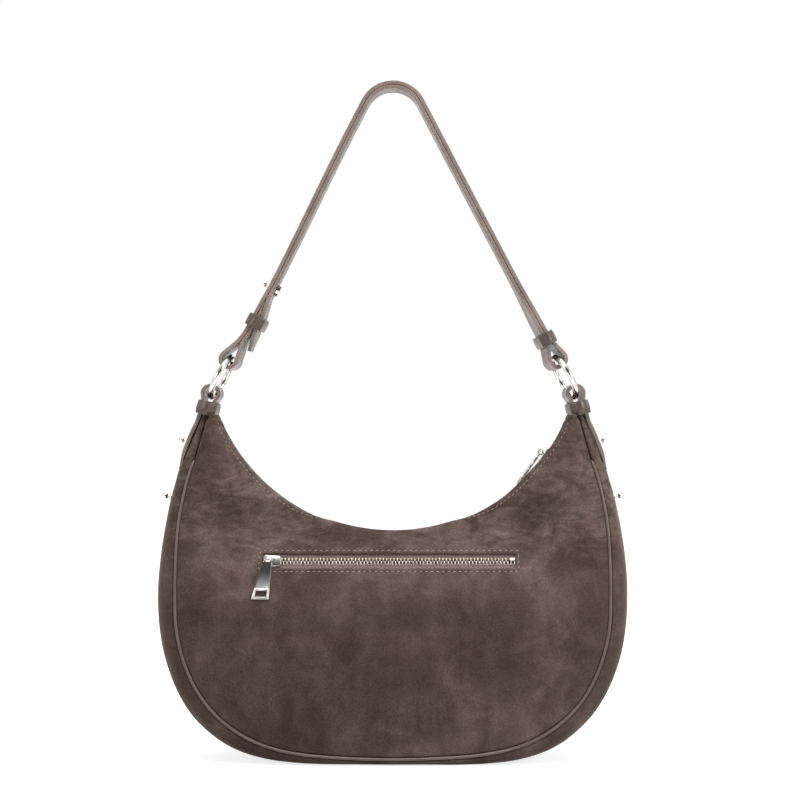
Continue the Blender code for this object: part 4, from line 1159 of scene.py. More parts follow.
@dataclass
class SuedeBody:
    """The suede shell: both panels and the gusset, with rolled seams, folds at the horns and relief."""

    form: BagForm = FORM
    columns: int = 252
    panel_rows: int = 60
    gusset_rows: int = 26
    window_cuts: int = 2
    shell: float = 0.0010
    steps: tuple[float, ...] = (0.0, 0.0002, 0.0005, 0.0009, 0.0014, 0.0020, 0.0028, 0.0038)
    step_share: float = 0.42
    seam_roll: float = 0.0015
    horn_roll: float = 0.0018
    lobe_height: float = 0.0010
    lobe_place: float = 0.0029
    lobe_width: float = 0.0025
    fold_foot: float = 0.2113
    fold_rise: float = 0.0085
    mouth_roll: float = 0.0013
    mouth_stitch: float = 0.0031
    groove_depth: float = 0.00024
    groove_width: float = 0.0006
    puff: float = 0.00032
    puff_width: float = 0.0012
    end_roll: float = 0.0034
    end_reach: float = 0.035
    window_roll: float = 0.0009
    window_stitch: float = 0.0025
    window_lip: float = 0.0009
    sway_height: float = 0.0012
    sway_scale: float = 10.0
    ripple_height: float = 0.00045
    ripple_scale: float = 27.0
    arc_samples: int = 28
    end_angles: tuple[float, float] = (math.radians(64.2), math.radians(68.0))
    end_half: float = 0.0112
    end_sink: float = 0.0016
    end_share: float = 0.7
    end_dome: float = 0.0012
    end_grid: tuple[int, int] = (16, 14)
    back_rim: float = 0.0012
    front_rim: float = -0.0005
    rim_reach: float = 0.009
    pulled_rim: float = 0.0016
    pulled_angle: float = math.radians(47.0)
    pulled_spread: float = math.radians(9.0)
    crest_place: float = 0.0042
    crest_reach: float = 0.0110
    crest_rise: float = 0.0031
    crest_dip: float = 0.0022
    crest_lean: float = 0.0016
    crest_half: float = 0.040
    crest_fade: float = 0.035
    tip_rise: float = 0.0024
    tip_corner: float = 0.0010
    tip_reach: float = 0.011
    tip_round: float = 0.6
    pinch_height: float = 0.0019
    pinch_place: float = 0.0107
    pinch_width: float = 0.0028
    pinch_low: float = 0.190
    pinch_high: float = 0.226
    pinch_fade: float = 0.022
    shut_flank: float = 0.00002
    pocket_calm: float = 0.75
    gusset_lobe: float = 0.7
    gusset_sway: float = 0.5
    fine_beyond: float = 0.007
    fine_half: float = 0.0115
    cut_margin: float = 0.003
    cut_depth: float = 0.004
    rim_margin: float = 0.001

    @property
    def sway_fade(self) -> float:
        """Distance from an edge over which the unevenness sets in."""
        return 3 * self.mouth_stitch

    def fold(self, z: float) -> float:
        """How far the seam at a height is shut over the piping, near the horns."""
        return smooth_share((z - self.fold_foot) / self.fold_rise)

    def flank(self, u: float) -> float:
        """How far from the seam's line the suede turns under."""
        return lerp(self.form.piping_radius, self.shut_flank, self.fold(self.form.station(u)[0].y))

    def step_at(self, index: float) -> float:
        """Distance from an edge at a place in the row of steps."""
        low = min(int(index), len(self.steps) - 2)
        return lerp(self.steps[low], self.steps[low + 1], index - low)

    def across(self, t: float, rows: int, width: float) -> float:
        """Distance from the first edge, with close rows at both edges.

        Args:
            t: Share of the rows.
            rows: Rows between the two sets of close rows.
            width: Distance between the edges.

        Returns:
            The distance from the first edge.
        """
        last = len(self.steps) - 1
        count = rows + 2 * last
        index = t * count
        shrink = min(1.0, self.step_share * width / self.steps[-1])
        if index < last:
            return self.step_at(index) * shrink
        if index > count - last:
            return width - self.step_at(count - index) * shrink
        edge = self.steps[-1] * shrink
        return lerp(edge, width - edge, (index - last) / rows)

    def sway(self, point: Vector) -> float:
        """Soft unevenness of the hanging suede at a point."""
        wide = noise.noise(point * self.sway_scale) * self.sway_height
        return wide + noise.noise(point * self.ripple_scale) * self.ripple_height

    def window_relief(self, x: float, z: float) -> float:
        """Relief round the pocket's window.

        Args:
            x: Place along the bag.
            z: Height.

        Returns:
            Height off the panel, from the turned lips and the stitched groove.
        """
        form = self.form
        up = (z - form.pocket_height) / math.cos(form.pocket_tilt)
        beyond_x = abs(x - form.pocket_centre) - form.pocket_length / 2
        beyond_y = abs(up) - form.pocket_opening / 2
        outside = math.hypot(max(beyond_x, 0), max(beyond_y, 0)) + min(max(beyond_x, beyond_y), 0)
        if outside > 4 * self.window_stitch:
            return 0.0
        lip = self.puff * hump(outside - self.window_stitch / 2, self.puff_width)
        groove = self.groove_depth * hump(outside - self.window_stitch, self.groove_width)
        return lip - groove - roll(outside, self.window_roll)

    def middle(self, x: float) -> float:
        """How far a place along the bag belongs to the middle of the mouth."""
        return 1 - smooth_share((abs(x) - self.crest_half) / self.crest_fade)

    def crest(self, x: float, from_mouth: float) -> Vector:
        """How the back panel rolls over at the middle of the mouth, so that its edge looks up.

        Args:
            x: Place along the bag.
            from_mouth: Distance from the mouth's edge.

        Returns:
            The shift of the panel.
        """
        weight = self.middle(x)
        if weight == 0 or from_mouth > self.crest_reach:
            return Vector()
        if from_mouth > self.crest_place:
            share = (self.crest_reach - from_mouth) / (self.crest_reach - self.crest_place)
            return Vector((0, 0, weight * (self.crest_rise + self.crest_place) * smooth_share(share)))
        part = 1 - from_mouth / self.crest_place
        rise = self.crest_rise + from_mouth - self.crest_dip * part * (1 + part) / 2
        return Vector((0, self.crest_lean * part, rise)) * weight

    def tip(self, u: float, share: float, point: Vector, tip: Vector) -> Vector:
        """How the suede rises in a rounded lobe at a horn's top.

        Args:
            u: Share of the girth.
            share: Share of the way across the lobe.
            point: The plain form's point.
            tip: The plain form's point at the horn's end.

        Returns:
            The shift of the suede.
        """
        distance = (Vector((point.x, point.z)) - Vector((tip.x, tip.z))).length
        if abs(u - nearer_end(u)) > self.end_reach or distance > self.tip_reach:
            return Vector()
        arch = math.sin(math.pi * share) ** self.tip_round
        rise = (self.tip_rise + self.tip_corner) * arch - self.tip_corner
        axis = RIGGING.horn_axis(Side.LEFT if u < 0.5 else Side.RIGHT)
        return axis * rise * smooth_share(1 - distance / self.tip_reach)

    def lobe(self, u: float, v: float, point: Vector) -> Vector:
        """How a point of a panel shifts for the lobe at the nearer horn's top."""
        return self.tip(u, min(max(v, 0.0), 1.0), point, self.form.panel(nearer_end(u), v))

    def base(self, u: float, v: float, face: Face) -> Vector:
        """A panel's form as it lies on the back, with its rim and crest but no lobes and no relief.

        Args:
            u: Share of the girth.
            v: Share of the way from mouth to seam.
            face: The face of the bag that the panel makes.

        Returns:
            The point.
        """
        form = self.form
        point = form.panel(u, v)
        from_mouth = max(v, 0.0) * form.reach(u)
        angle = lerp(-form.mouth_angle, form.mouth_angle, u)
        up = Vector((-math.sin(angle), 0, math.cos(angle))) * smooth_share(1 - from_mouth / self.rim_reach)
        if face is Face.FRONT:
            return point + up * self.front_rim
        rim = self.back_rim * (1 - self.middle(point.x))
        rim += self.pulled_rim * hump(angle - self.pulled_angle, self.pulled_spread)
        return point + self.crest(point.x, from_mouth) + up * rim

    def panel_relief(self, u: float, v: float, point: Vector, pocket: bool) -> float:
        """Height of a panel's surface off the plain form.

        Args:
            u: Share of the girth.
            v: Share of the way from mouth to seam.
            point: The plain form's point.
            pocket: Whether the panel has the pocket.

        Returns:
            The height.
        """
        form = self.form
        reach = form.reach(u)
        from_mouth, from_seam = v * reach, (1 - v) * reach - self.flank(u)
        shut = self.fold(form.station(u)[0].y)
        height = self.puff * hump(from_mouth - self.mouth_stitch / 2, self.puff_width)
        height -= self.groove_depth * hump(from_mouth - self.mouth_stitch, self.groove_width)
        height -= roll(from_seam, lerp(self.seam_roll, self.horn_roll, shut))
        height += self.lobe_height * shut * hump(from_seam - self.lobe_place, self.lobe_width)
        drop = roll(from_mouth, self.mouth_roll)
        end = nearer_end(u)
        if abs(u - end) < self.end_reach:
            tip = form.mouth_at(end).lerp(form.station(end)[0], v)
            drop = max(drop, roll((Vector((point.x, point.z)) - tip).length, self.end_roll))
        height -= drop
        if pocket:
            height += self.window_relief(point.x, point.z)
        fade = smooth_share(from_mouth / self.sway_fade) * smooth_share(from_seam / self.sway_fade)
        flat = form.pocket_share(point.x, point.z, v) if pocket else 0.0
        return height + self.sway(point) * fade * (1 - self.pocket_calm * flat)

    def on_panel(self, u: float, v: float, lift: float, face: Face = Face.BACK) -> tuple[Vector, Vector]:
        """Point on a panel's finished surface, as it lies on the back.

        Args:
            u: Share of the girth.
            v: Share of the way from mouth to seam.
            lift: Height over the surface.
            face: The face of the bag that the panel makes.

        Returns:
            The point and the outward direction.
        """
        step = self.form.normal_step
        point = self.base(u, v, face)
        along = self.base(min(u + step, 1), v, face) - self.base(max(u - step, 0), v, face)
        across = self.base(u, v + step, face) - self.base(u, max(v - step, 0), face)
        normal = across.cross(along).normalized()
        point += self.lobe(u, v, point)
        height = self.panel_relief(u, v, point, face is Face.BACK) + lift
        return point + normal * height, normal

    def panel_mesh(self, face: Face) -> Mesh:
        """A panel's surface as it lies on the back, with the pocket's window on the back panel."""
        form, pocket = self.form, face is Face.BACK
        rows = self.panel_rows + 2 * (len(self.steps) - 1)
        bm = bmesh.new()
        bmesh.ops.create_grid(bm, x_segments=self.columns, y_segments=rows, size=1)

        def shares(vert: Vert) -> tuple[float, float]:
            """A grid point's shares of the girth and of the way to the seam."""
            u = (vert.co.x + 1) / 2
            reach = form.reach(u)
            return u, self.across((1 - vert.co.y) / 2, self.panel_rows, reach - self.flank(u)) / reach

        if pocket:
            near = set()
            for vert in bm.verts:
                u, v = shares(vert)
                point = form.mouth_at(u).lerp(form.station(u)[0], v)
                beyond = abs(point.x - form.pocket_centre) - form.pocket_length / 2
                if beyond < self.fine_beyond and abs(point.y - form.pocket_height) < self.fine_half:
                    near.add(vert)
            edges = [edge for edge in bm.edges if edge.verts[0] in near and edge.verts[1] in near]
            bmesh.ops.subdivide_edges(bm, edges=edges, cuts=self.window_cuts, use_grid_fill=True)
        places = {}
        for vert in bm.verts:
            places[vert] = shares(vert)
        for vert, (u, v) in places.items():
            vert.co = self.base(u, v, face)
        face_outwards(bm, Vector((0, -1, 0)))
        if pocket:
            self.open_window(bm)
            bm.normal_update()
        heights = []
        for vert in bm.verts:
            u, v = places.get(vert) or shares_at(form, vert.co)
            point = vert.co + self.lobe(u, v, vert.co)
            heights.append((vert, point + vert.normal * self.panel_relief(u, v, point, pocket)))
        for vert, place in heights:
            vert.co = place
        return bm

    def open_window(self, bm: Mesh) -> None:
        """Cuts the pocket's window into the laid panel."""
        form = self.form
        place, half = form.pocket_frame, (form.pocket_length / 2, form.pocket_opening / 2)
        inverse = place.inverted()

        def inside(face: bmesh.types.BMFace, margin: float) -> bool:
            """Whether a face's middle lies in the window, with a margin."""
            local = inverse @ face.calc_center_median()
            within = abs(local.x) < half[0] + margin and abs(local.y) < half[1] + margin
            return within and abs(local.z) < self.cut_depth

        for axis in (1, 0):
            for sign in (-1, 1):
                faces = [face for face in bm.faces if inside(face, self.cut_margin)]
                geom = set(faces)
                for face in faces:
                    geom.update(face.edges)
                    geom.update(face.verts)
                direction = Vector((0, 0, 0))
                direction[axis] = 1
                bmesh.ops.bisect_plane(
                    bm,
                    geom=list(geom),
                    dist=MERGE / 10,
                    plane_co=place @ (direction * half[axis] * sign),
                    plane_no=place.to_3x3() @ direction,
                )
        bmesh.ops.delete(bm, geom=[face for face in bm.faces if inside(face, 0)], context="FACES")

    def turn_lips(self, bm: Mesh) -> None:
        """Turns the window's edge inwards, towards the zip."""
        form = self.form
        inverse = form.pocket_frame.inverted()
        inward = -form.pocket_frame.to_3x3().col[2]
        reach_x = form.pocket_length / 2 + self.rim_margin
        reach_y = form.pocket_opening / 2 + self.rim_margin
        edges = []
        for edge in bm.edges:
            local = inverse @ ((edge.verts[0].co + edge.verts[1].co) / 2)
            near = abs(local.x) < reach_x and abs(local.y) < reach_y
            if edge.is_boundary and near and abs(local.z) < self.cut_depth:
                edges.append(edge)
        made = bmesh.ops.extrude_edge_only(bm, edges=edges)["geom"]
        verts = [item for item in made if isinstance(item, Vert)]
        bmesh.ops.translate(bm, vec=inward * self.window_lip, verts=verts)

    def panel(self, face: Face) -> None:
        """Builds one panel.

        Args:
            face: The face of the bag that it makes.
        """
        pocket = face is Face.BACK
        bm = self.panel_mesh(face)
        if pocket:
            self.turn_lips(bm)
        else:
            bmesh.ops.scale(bm, vec=Vector((1, -1, 1)), verts=bm.verts)
            bmesh.ops.reverse_faces(bm, faces=bm.faces)
        item = stand_in(f"{face.word}_panel", "suede", "suede").show(bm, SUEDE)
        thicken(item, self.shell, -1, even=False)

    def gusset_arc(self, u: float) -> list[tuple[float, float]]:
        """Turns and distances round the gusset at a share of the girth."""
        lift = self.flank(u)
        turns = [lerp(-1, 1, index / self.arc_samples) for index in range(self.arc_samples + 1)]
        points = [self.form.gusset(u, math.sin(QUARTER * turn), lift) for turn in turns]
        total, table = 0.0, [(-1.0, 0.0)]
        for turn, before, here in zip(turns[1:], points, points[1:]):
            total += (here - before).length
            table.append((math.sin(QUARTER * turn), total))
        return table

    def pinch(self, point: Vector) -> float:
        """How far the gusset swells out on both sides of the tab that is screwed down on it."""
        low = smooth_share((point.z - self.pinch_low) / self.pinch_fade)
        high = smooth_share((self.pinch_high - point.z) / self.pinch_fade)
        return self.pinch_height * low * high * hump(abs(point.y) - self.pinch_place, self.pinch_width)

    def gusset(self) -> None:
        """Builds the gusset."""
        form = self.form
        rows = self.gusset_rows + 2 * (len(self.steps) - 1)
        bm = bmesh.new()
        bmesh.ops.create_grid(bm, x_segments=self.columns, y_segments=rows, size=1)
        tables = {}
        places = {}
        for vert in bm.verts:
            u = (vert.co.x + 1) / 2
            if u not in tables:
                tables[u] = self.gusset_arc(u)
            table = tables[u]
            whole = table[-1][1]
            distance = self.across((vert.co.y + 1) / 2, self.gusset_rows, whole)
            index = next((n for n, row in enumerate(table) if row[1] >= distance), len(table) - 1)
            before, after = table[max(index - 1, 0)], table[index]
            span = max(after[1] - before[1], 1e-9)
            turn = lerp(before[0], after[0], min(max((distance - before[1]) / span, 0), 1))
            places[vert] = (u, turn, min(distance, whole - distance))
            vert.co = form.gusset(u, turn, self.flank(u))
        face_away(bm, Vector((0, 0, form.horn_height / 2)))
        moved = []
        for vert, (u, turn, edge) in places.items():
            shut = self.fold(form.station(u)[0].y)
            height = -roll(edge, lerp(self.seam_roll, self.horn_roll, shut))
            rise = self.lobe_height * self.gusset_lobe * shut
            height += rise * hump(edge - self.lobe_place, self.lobe_width)
            end = nearer_end(u)
            tip = form.gusset(end, turn, self.flank(end))
            if abs(u - end) < self.end_reach:
                height -= roll((vert.co - tip).length, self.end_roll)
            height += self.gusset_sway * self.sway(vert.co) * smooth_share(edge / self.sway_fade)
            height += self.pinch(vert.co)
            lobe = self.tip(u, 1 - min(abs(turn), 1), vert.co, tip)
            moved.append((vert, vert.co + vert.normal * height + lobe))
        for vert, place in moved:
            vert.co = Vector((place.x, place.y, max(place.z, 0)))
        item = stand_in("gusset", "suede", "suede").show(bm, SUEDE)
        thicken(item, self.shell, -1, even=False)

    def mouth_end(self, side: Side) -> None:
        """Closes the mouth between its zip's end and the horn.

        Args:
            side: The end of the bag.
        """
        form = self.form

        def place(a: float, b: float) -> Vector:
            """Point on the closing's outer face."""
            across = 2 * b - 1
            sink = self.end_dome * across * across + self.end_sink * (1 - smooth_share(a / self.end_share))
            angle = side.value * lerp(*self.end_angles, a)
            return spatial(form.mouth_point(angle, sink), across * self.end_half)

        bm = laid_grid(*self.end_grid, place)
        face_outwards(bm, Vector((-side.value, 0, 1)))
        item = Piece(f"{side.word}_mouth_end_suede", Body.BAG, "suede").show(bm, SUEDE)
        thicken(item, self.shell, -1)
        round_edges(item, self.shell / 3)

    def build(self) -> None:
        """Builds the panels, the gusset and the closings at the mouth's ends."""
        self.panel(Face.BACK)
        self.panel(Face.FRONT)
        self.gusset()
        for side in Side:
            self.mouth_end(side)


@dataclass
class Piping:
    """The leather piping in both seams, which dives into the fold below each horn."""

    suede: SuedeBody
    points: int = 300
    rounds: int = 14
    dive: float = 0.0040
    dive_foot: float = 0.2093
    dive_rise: float = 0.0075

    def build(self) -> None:
        """Builds both pipings."""
        form = self.suede.form
        for face in Face:
            path = []
            for index in range(self.points + 1):
                seam, _, half_depth, _ = form.station(index / self.points)
                sink = self.dive * smooth_share((seam.y - self.dive_foot) / self.dive_rise)
                path.append(spatial(seam, face.value * (half_depth - sink)))
            bm = laid_tube(path, form.piping_radius, self.rounds)
            piece = Piece(f"{face.word}_seam_piping", Body.BAG, "piping", (f"{face.word}_piping",))
            piece.show(bm, PIPING_LEATHER)


@dataclass(frozen=True)
class Stitching:
    """A row of stitches, with a dark spot of painted shade for the needle hole at both ends of each."""

    pitch: float = 0.0036
    length: float = 0.0021
    width: float = 0.00062
    height: float = 0.00050
    slant: float = math.radians(10.0)
    # size of the painted-shade spot at each needle hole
    hole: float = 0.00048
    hole_height: float = 0.00016

    def sew(self, name: str, path: Line) -> None:
        """Sews a row along a path.

        Args:
            name: The row's name.
            path: Points on the surface with their outward directions.
        """
        threads, holes = bmesh.new(), bmesh.new()
        walked, due = 0.0, self.pitch / 2
        for (here, normal), (there, _) in zip(path, path[1:]):
            span = (there - here).length
            while walked + span >= due and span > 0:
                point = here.lerp(there, (due - walked) / span)
                self.stitch(threads, holes, point, there - here, normal)
                due += self.pitch
            walked += span
        Piece(name, Body.BAG, "piping").show(threads, THREAD)
        Piece(name + "_needle_holes", Body.BAG, "suede").show(holes, HOLE_SHADE)

    def stitch(self, threads: Mesh, holes: Mesh, point: Vector, along: Vector, normal: Vector) -> None:
        """Adds one stitch and the painted shade of its two holes.

        Args:
            threads: Mesh of the stitches.
            holes: Mesh of the painted shade in the holes.
            point: Middle of the stitch.
            along: Direction of the row.
            normal: Outward direction.
        """
        place = frame_matrix(point, along, normal.cross(along))
        place = place @ Matrix.Rotation(self.slant, 4, "Z")
        lying = Matrix.Rotation(QUARTER, 4, "Y")
        sizes = Matrix.Diagonal((self.height / 2, self.width / 2, self.length / 2, 1))
        bmesh.ops.create_uvsphere(threads, u_segments=8, v_segments=5, radius=1, matrix=place @ lying @ sizes)
        # dark flattened spots of painted shade, standing in for the shadow in the needle holes
        for end in (-1, 1):
            spot = place @ Matrix.Translation((end * self.length / 2, 0, -self.hole_height / 2))
            flat = Matrix.Diagonal((self.hole, self.hole, self.hole_height, 1))
            bmesh.ops.create_icosphere(holes, subdivisions=1, radius=1, matrix=spot @ flat)


@dataclass
class Seams:
    """The stitched rows: along the mouth on both faces and round the pocket's window."""

    suede: SuedeBody
    mouth_stitching: Stitching = Stitching()
    frame_stitching: Stitching = Stitching(pitch=0.0040, length=0.0024)
    samples: int = 900
    mouth_start: float = 0.012
    frame_half: float = 0.09245
    frame_up: float = 0.0079
    frame_shift: float = -0.00035
    left_corner: float = 0.0034
    right_corner: float = 0.0020
    corner_steps: int = 6
    lift: float = 0.0001
    spacing: float = 0.0015

    def mouth_path(self, face: Face) -> Line:
        """The stitched line along the mouth.

        Args:
            face: The face of the bag.

        Returns:
            Points with their outward directions.
        """
        path = []
        for index in range(self.samples + 1):
            u = lerp(self.mouth_start, 1 - self.mouth_start, index / self.samples)
            v = self.suede.mouth_stitch / self.suede.form.reach(u)
            point, normal = self.suede.on_panel(u, v, self.lift, face)
            if face is Face.FRONT:
                point, normal = (Vector((item.x, -item.y, item.z)) for item in (point, normal))
            path.append((point, normal))
        return path

    def window_path(self) -> Line:
        """The stitched frame round the pocket's window."""
        form = self.suede.form
        corners = (
            (1, 1, self.right_corner),
            (-1, 1, self.left_corner),
            (-1, -1, self.left_corner),
            (1, -1, self.right_corner),
        )
        outline = []
        for quarter, (sx, sy, radius) in enumerate(corners):
            centre = (sx * (self.frame_half - radius) + self.frame_shift, sy * (self.frame_up - radius))
            start = QUARTER * quarter
            outline += arc_points(centre, radius, start, start + QUARTER, self.corner_steps)
        outline.append(outline[0])
        points = [form.pocket_frame @ Vector((x, y, 0)) for x, y in outline]
        path = []
        for first, second in zip(points, points[1:]):
            count = max(round((second - first).length / self.spacing), 1)
            for step in range(count):
                shares = shares_at(form, first.lerp(second, step / count))
                path.append(self.suede.on_panel(*shares, self.lift))
        return path + path[:1]

    def build(self) -> None:
        """Sews every row."""
        for face in Face:
            self.mouth_stitching.sew(f"{face.word}_mouth_stitches", self.mouth_path(face))
        self.frame_stitching.sew("pocket_frame_stitches", self.window_path())


@dataclass
class Zips:
    """Both zips' tapes, teeth, stop and end tabs."""

    form: BagForm = FORM
    tape: float = 0.0008
    tape_width: float = 0.0067
    pocket_tape_width: float = 0.0070
    chain_inner: float = 0.0008
    chain_outer: float = 0.0029
    tape_inner: float = 0.0013
    depth: float = 0.0015
    pitch: float = 0.0025
    tooth_length: float = 0.00120
    tooth_thickness: float = 0.0026
    tooth_cross: float = 0.00030
    tooth_round: float = 0.00030
    stop_length: float = 0.0042
    stop_round: float = 0.0004
    end_tab_length: float = 0.0085
    top_share: float = 0.915
    pocket_side: float = 0.004
    columns: int = 160
    tape_rows: int = 6
    arc_cell: float = 0.002
    tooth_shifts: tuple[float, float] = (0.25, 0.75)

    @property
    def centre(self) -> float:
        """Inset of the teeth's middle below the mouth's edge."""
        return self.depth + self.tape / 2

    @property
    def pocket_depth(self) -> float:
        """How far the pocket's teeth lie behind the panel's face."""
        return self.form.suede + self.form.fit_gap + self.tape / 2

    def tape_outer(self, width: float) -> float:
        """Distance from the zip's middle line to the outer edge of a tape."""
        return self.chain_outer + self.form.fit_gap + width

    def tooth(self, place: Matrix, towards: int) -> Mesh:
        """One tooth.

        Args:
            place: Frame on the zip's middle line, with X along it and Z out of it.
            towards: 1 or -1 for the tape's side on Y.

        Returns:
            The tooth's mesh.
        """
        width = self.chain_outer + self.tooth_cross
        middle = towards * (self.chain_outer - self.tooth_cross) / 2
        size = (self.tooth_length, width, self.tooth_thickness)
        return block(size, place @ Matrix.Translation((0, middle, 0)), self.tooth_round, 1)

    def show_teeth(self, name: str, teeth: Sequence[Mesh]) -> None:
        """Shows a row of teeth as one piece."""
        Piece(name + "_metal_teeth", Body.BAG, "teeth", (name + "_teeth",)).show(merged(teeth), TEETH_METAL)

    def arc_frame(self, angle: float) -> Matrix:
        """Frame on the mouth zip's middle line at an angle from straight down."""
        along = Vector((math.cos(angle), 0, math.sin(angle)))
        return frame_matrix(spatial(self.form.mouth_point(angle, self.centre)), along, Vector((0, 1, 0)))

    def arc_tape(
        self, piece: Piece, angles: tuple[float, float], edges: tuple[float, float], finish: Finish
    ) -> None:
        """Builds a strip on the mouth's arc.

        Args:
            piece: The strip's place among the pieces.
            angles: Its first and last angle.
            edges: Its two edges on Y.
            finish: Its finish.
        """
        length = (angles[1] - angles[0]) * self.form.mouth_radius

        def place(a: float, b: float) -> Vector:
            """Point on the strip's upper face."""
            return spatial(self.form.mouth_point(lerp(*angles, a), self.depth), lerp(*edges, b))

        columns = max(round(length / self.arc_cell), 4)
        bm = laid_grid(columns, self.tape_rows, place, (length, edges[1] - edges[0]))
        face_outwards(bm, Vector((0, 0, 1)))
        thicken(piece.show(bm, finish), self.tape, -1)

    def top(self) -> None:
        """Builds the mouth's zip."""
        reach = self.form.mouth_angle * self.top_share
        radius = self.form.mouth_radius + self.centre
        count = round(2 * reach * radius / self.pitch)
        outer = self.tape_outer(self.tape_width)
        for face, shift in zip(Face, self.tooth_shifts):
            name = f"top_zip_{face.word}"
            edges = tuple(sorted((face.value * self.tape_inner, face.value * outer)))
            piece = Piece(name + "_woven_tape", Body.BAG, "zip_tape", (name + "_tape",))
            self.arc_tape(piece, (-reach, reach), edges, TAPE_WEAVE)
            angles = [lerp(-reach, reach, (index + shift) / count) for index in range(count)]
            self.show_teeth(name, [self.tooth(self.arc_frame(angle), face.value) for angle in angles])
        start = reach + self.form.fit_gap / radius
        end = start + self.end_tab_length / radius
        for side in Side:
            ends = tuple(sorted((side.value * start, side.value * end)))
            piece = stand_in(f"{side.word}_zip_end_tab", "leather", "strap_leather")
            self.arc_tape(piece, ends, (-outer, outer), BAND_LEATHER)

    def pocket(self) -> None:
        """Builds the pocket's zip."""
        form = self.form
        level = form.pocket_frame @ Matrix.Translation((0, 0, -self.pocket_depth))
        half = form.pocket_length / 2 - form.fit_gap
        tape_half = (form.pocket_length + self.pocket_side) / 2
        outer = self.tape_outer(self.pocket_tape_width)
        count = round(2 * half / self.pitch)
        for word, up, shift in zip(("upper", "lower"), (1, -1), self.tooth_shifts):
            name = f"pocket_zip_{word}"
            edges = (up * self.tape_inner, up * outer)

            def place(a: float, b: float) -> Vector:
                """Point on the tape's outer face."""
                x, y = lerp(-tape_half, tape_half, a), lerp(*edges, b)
                return level @ Vector((x, y, self.tape / 2))

            size = (2 * tape_half, outer - self.tape_inner)
            bm = laid_grid(self.columns, self.tape_rows, place, size)
            face_outwards(bm, Vector((0, -1, 0)))
            piece = Piece(name + "_woven_tape", Body.BAG, "zip_tape", (name + "_tape",))
            thicken(piece.show(bm, TAPE_WEAVE), self.tape, -1)
            teeth = []
            for index in range(count):
                x = lerp(-half, half, (index + shift) / count)
                if up < 0 or x < half - self.stop_length - self.tooth_length:
                    teeth.append(self.tooth(level @ Matrix.Translation((x, 0, 0)), up))
            self.show_teeth(name, teeth)
        width = self.chain_outer - self.chain_inner
        centre = (half - self.stop_length / 2, self.chain_inner + width / 2, 0)
        size = (self.stop_length, width, self.tooth_thickness)
        stop = block(size, level @ Matrix.Translation(centre), self.stop_round, 3)
        Piece("pocket_zip_metal_stop", Body.BAG, "teeth", ("pocket_zip_stop",)).show(stop, STOP_METAL)

    def build(self) -> None:
        """Builds both zips."""
        self.top()
        self.pocket()


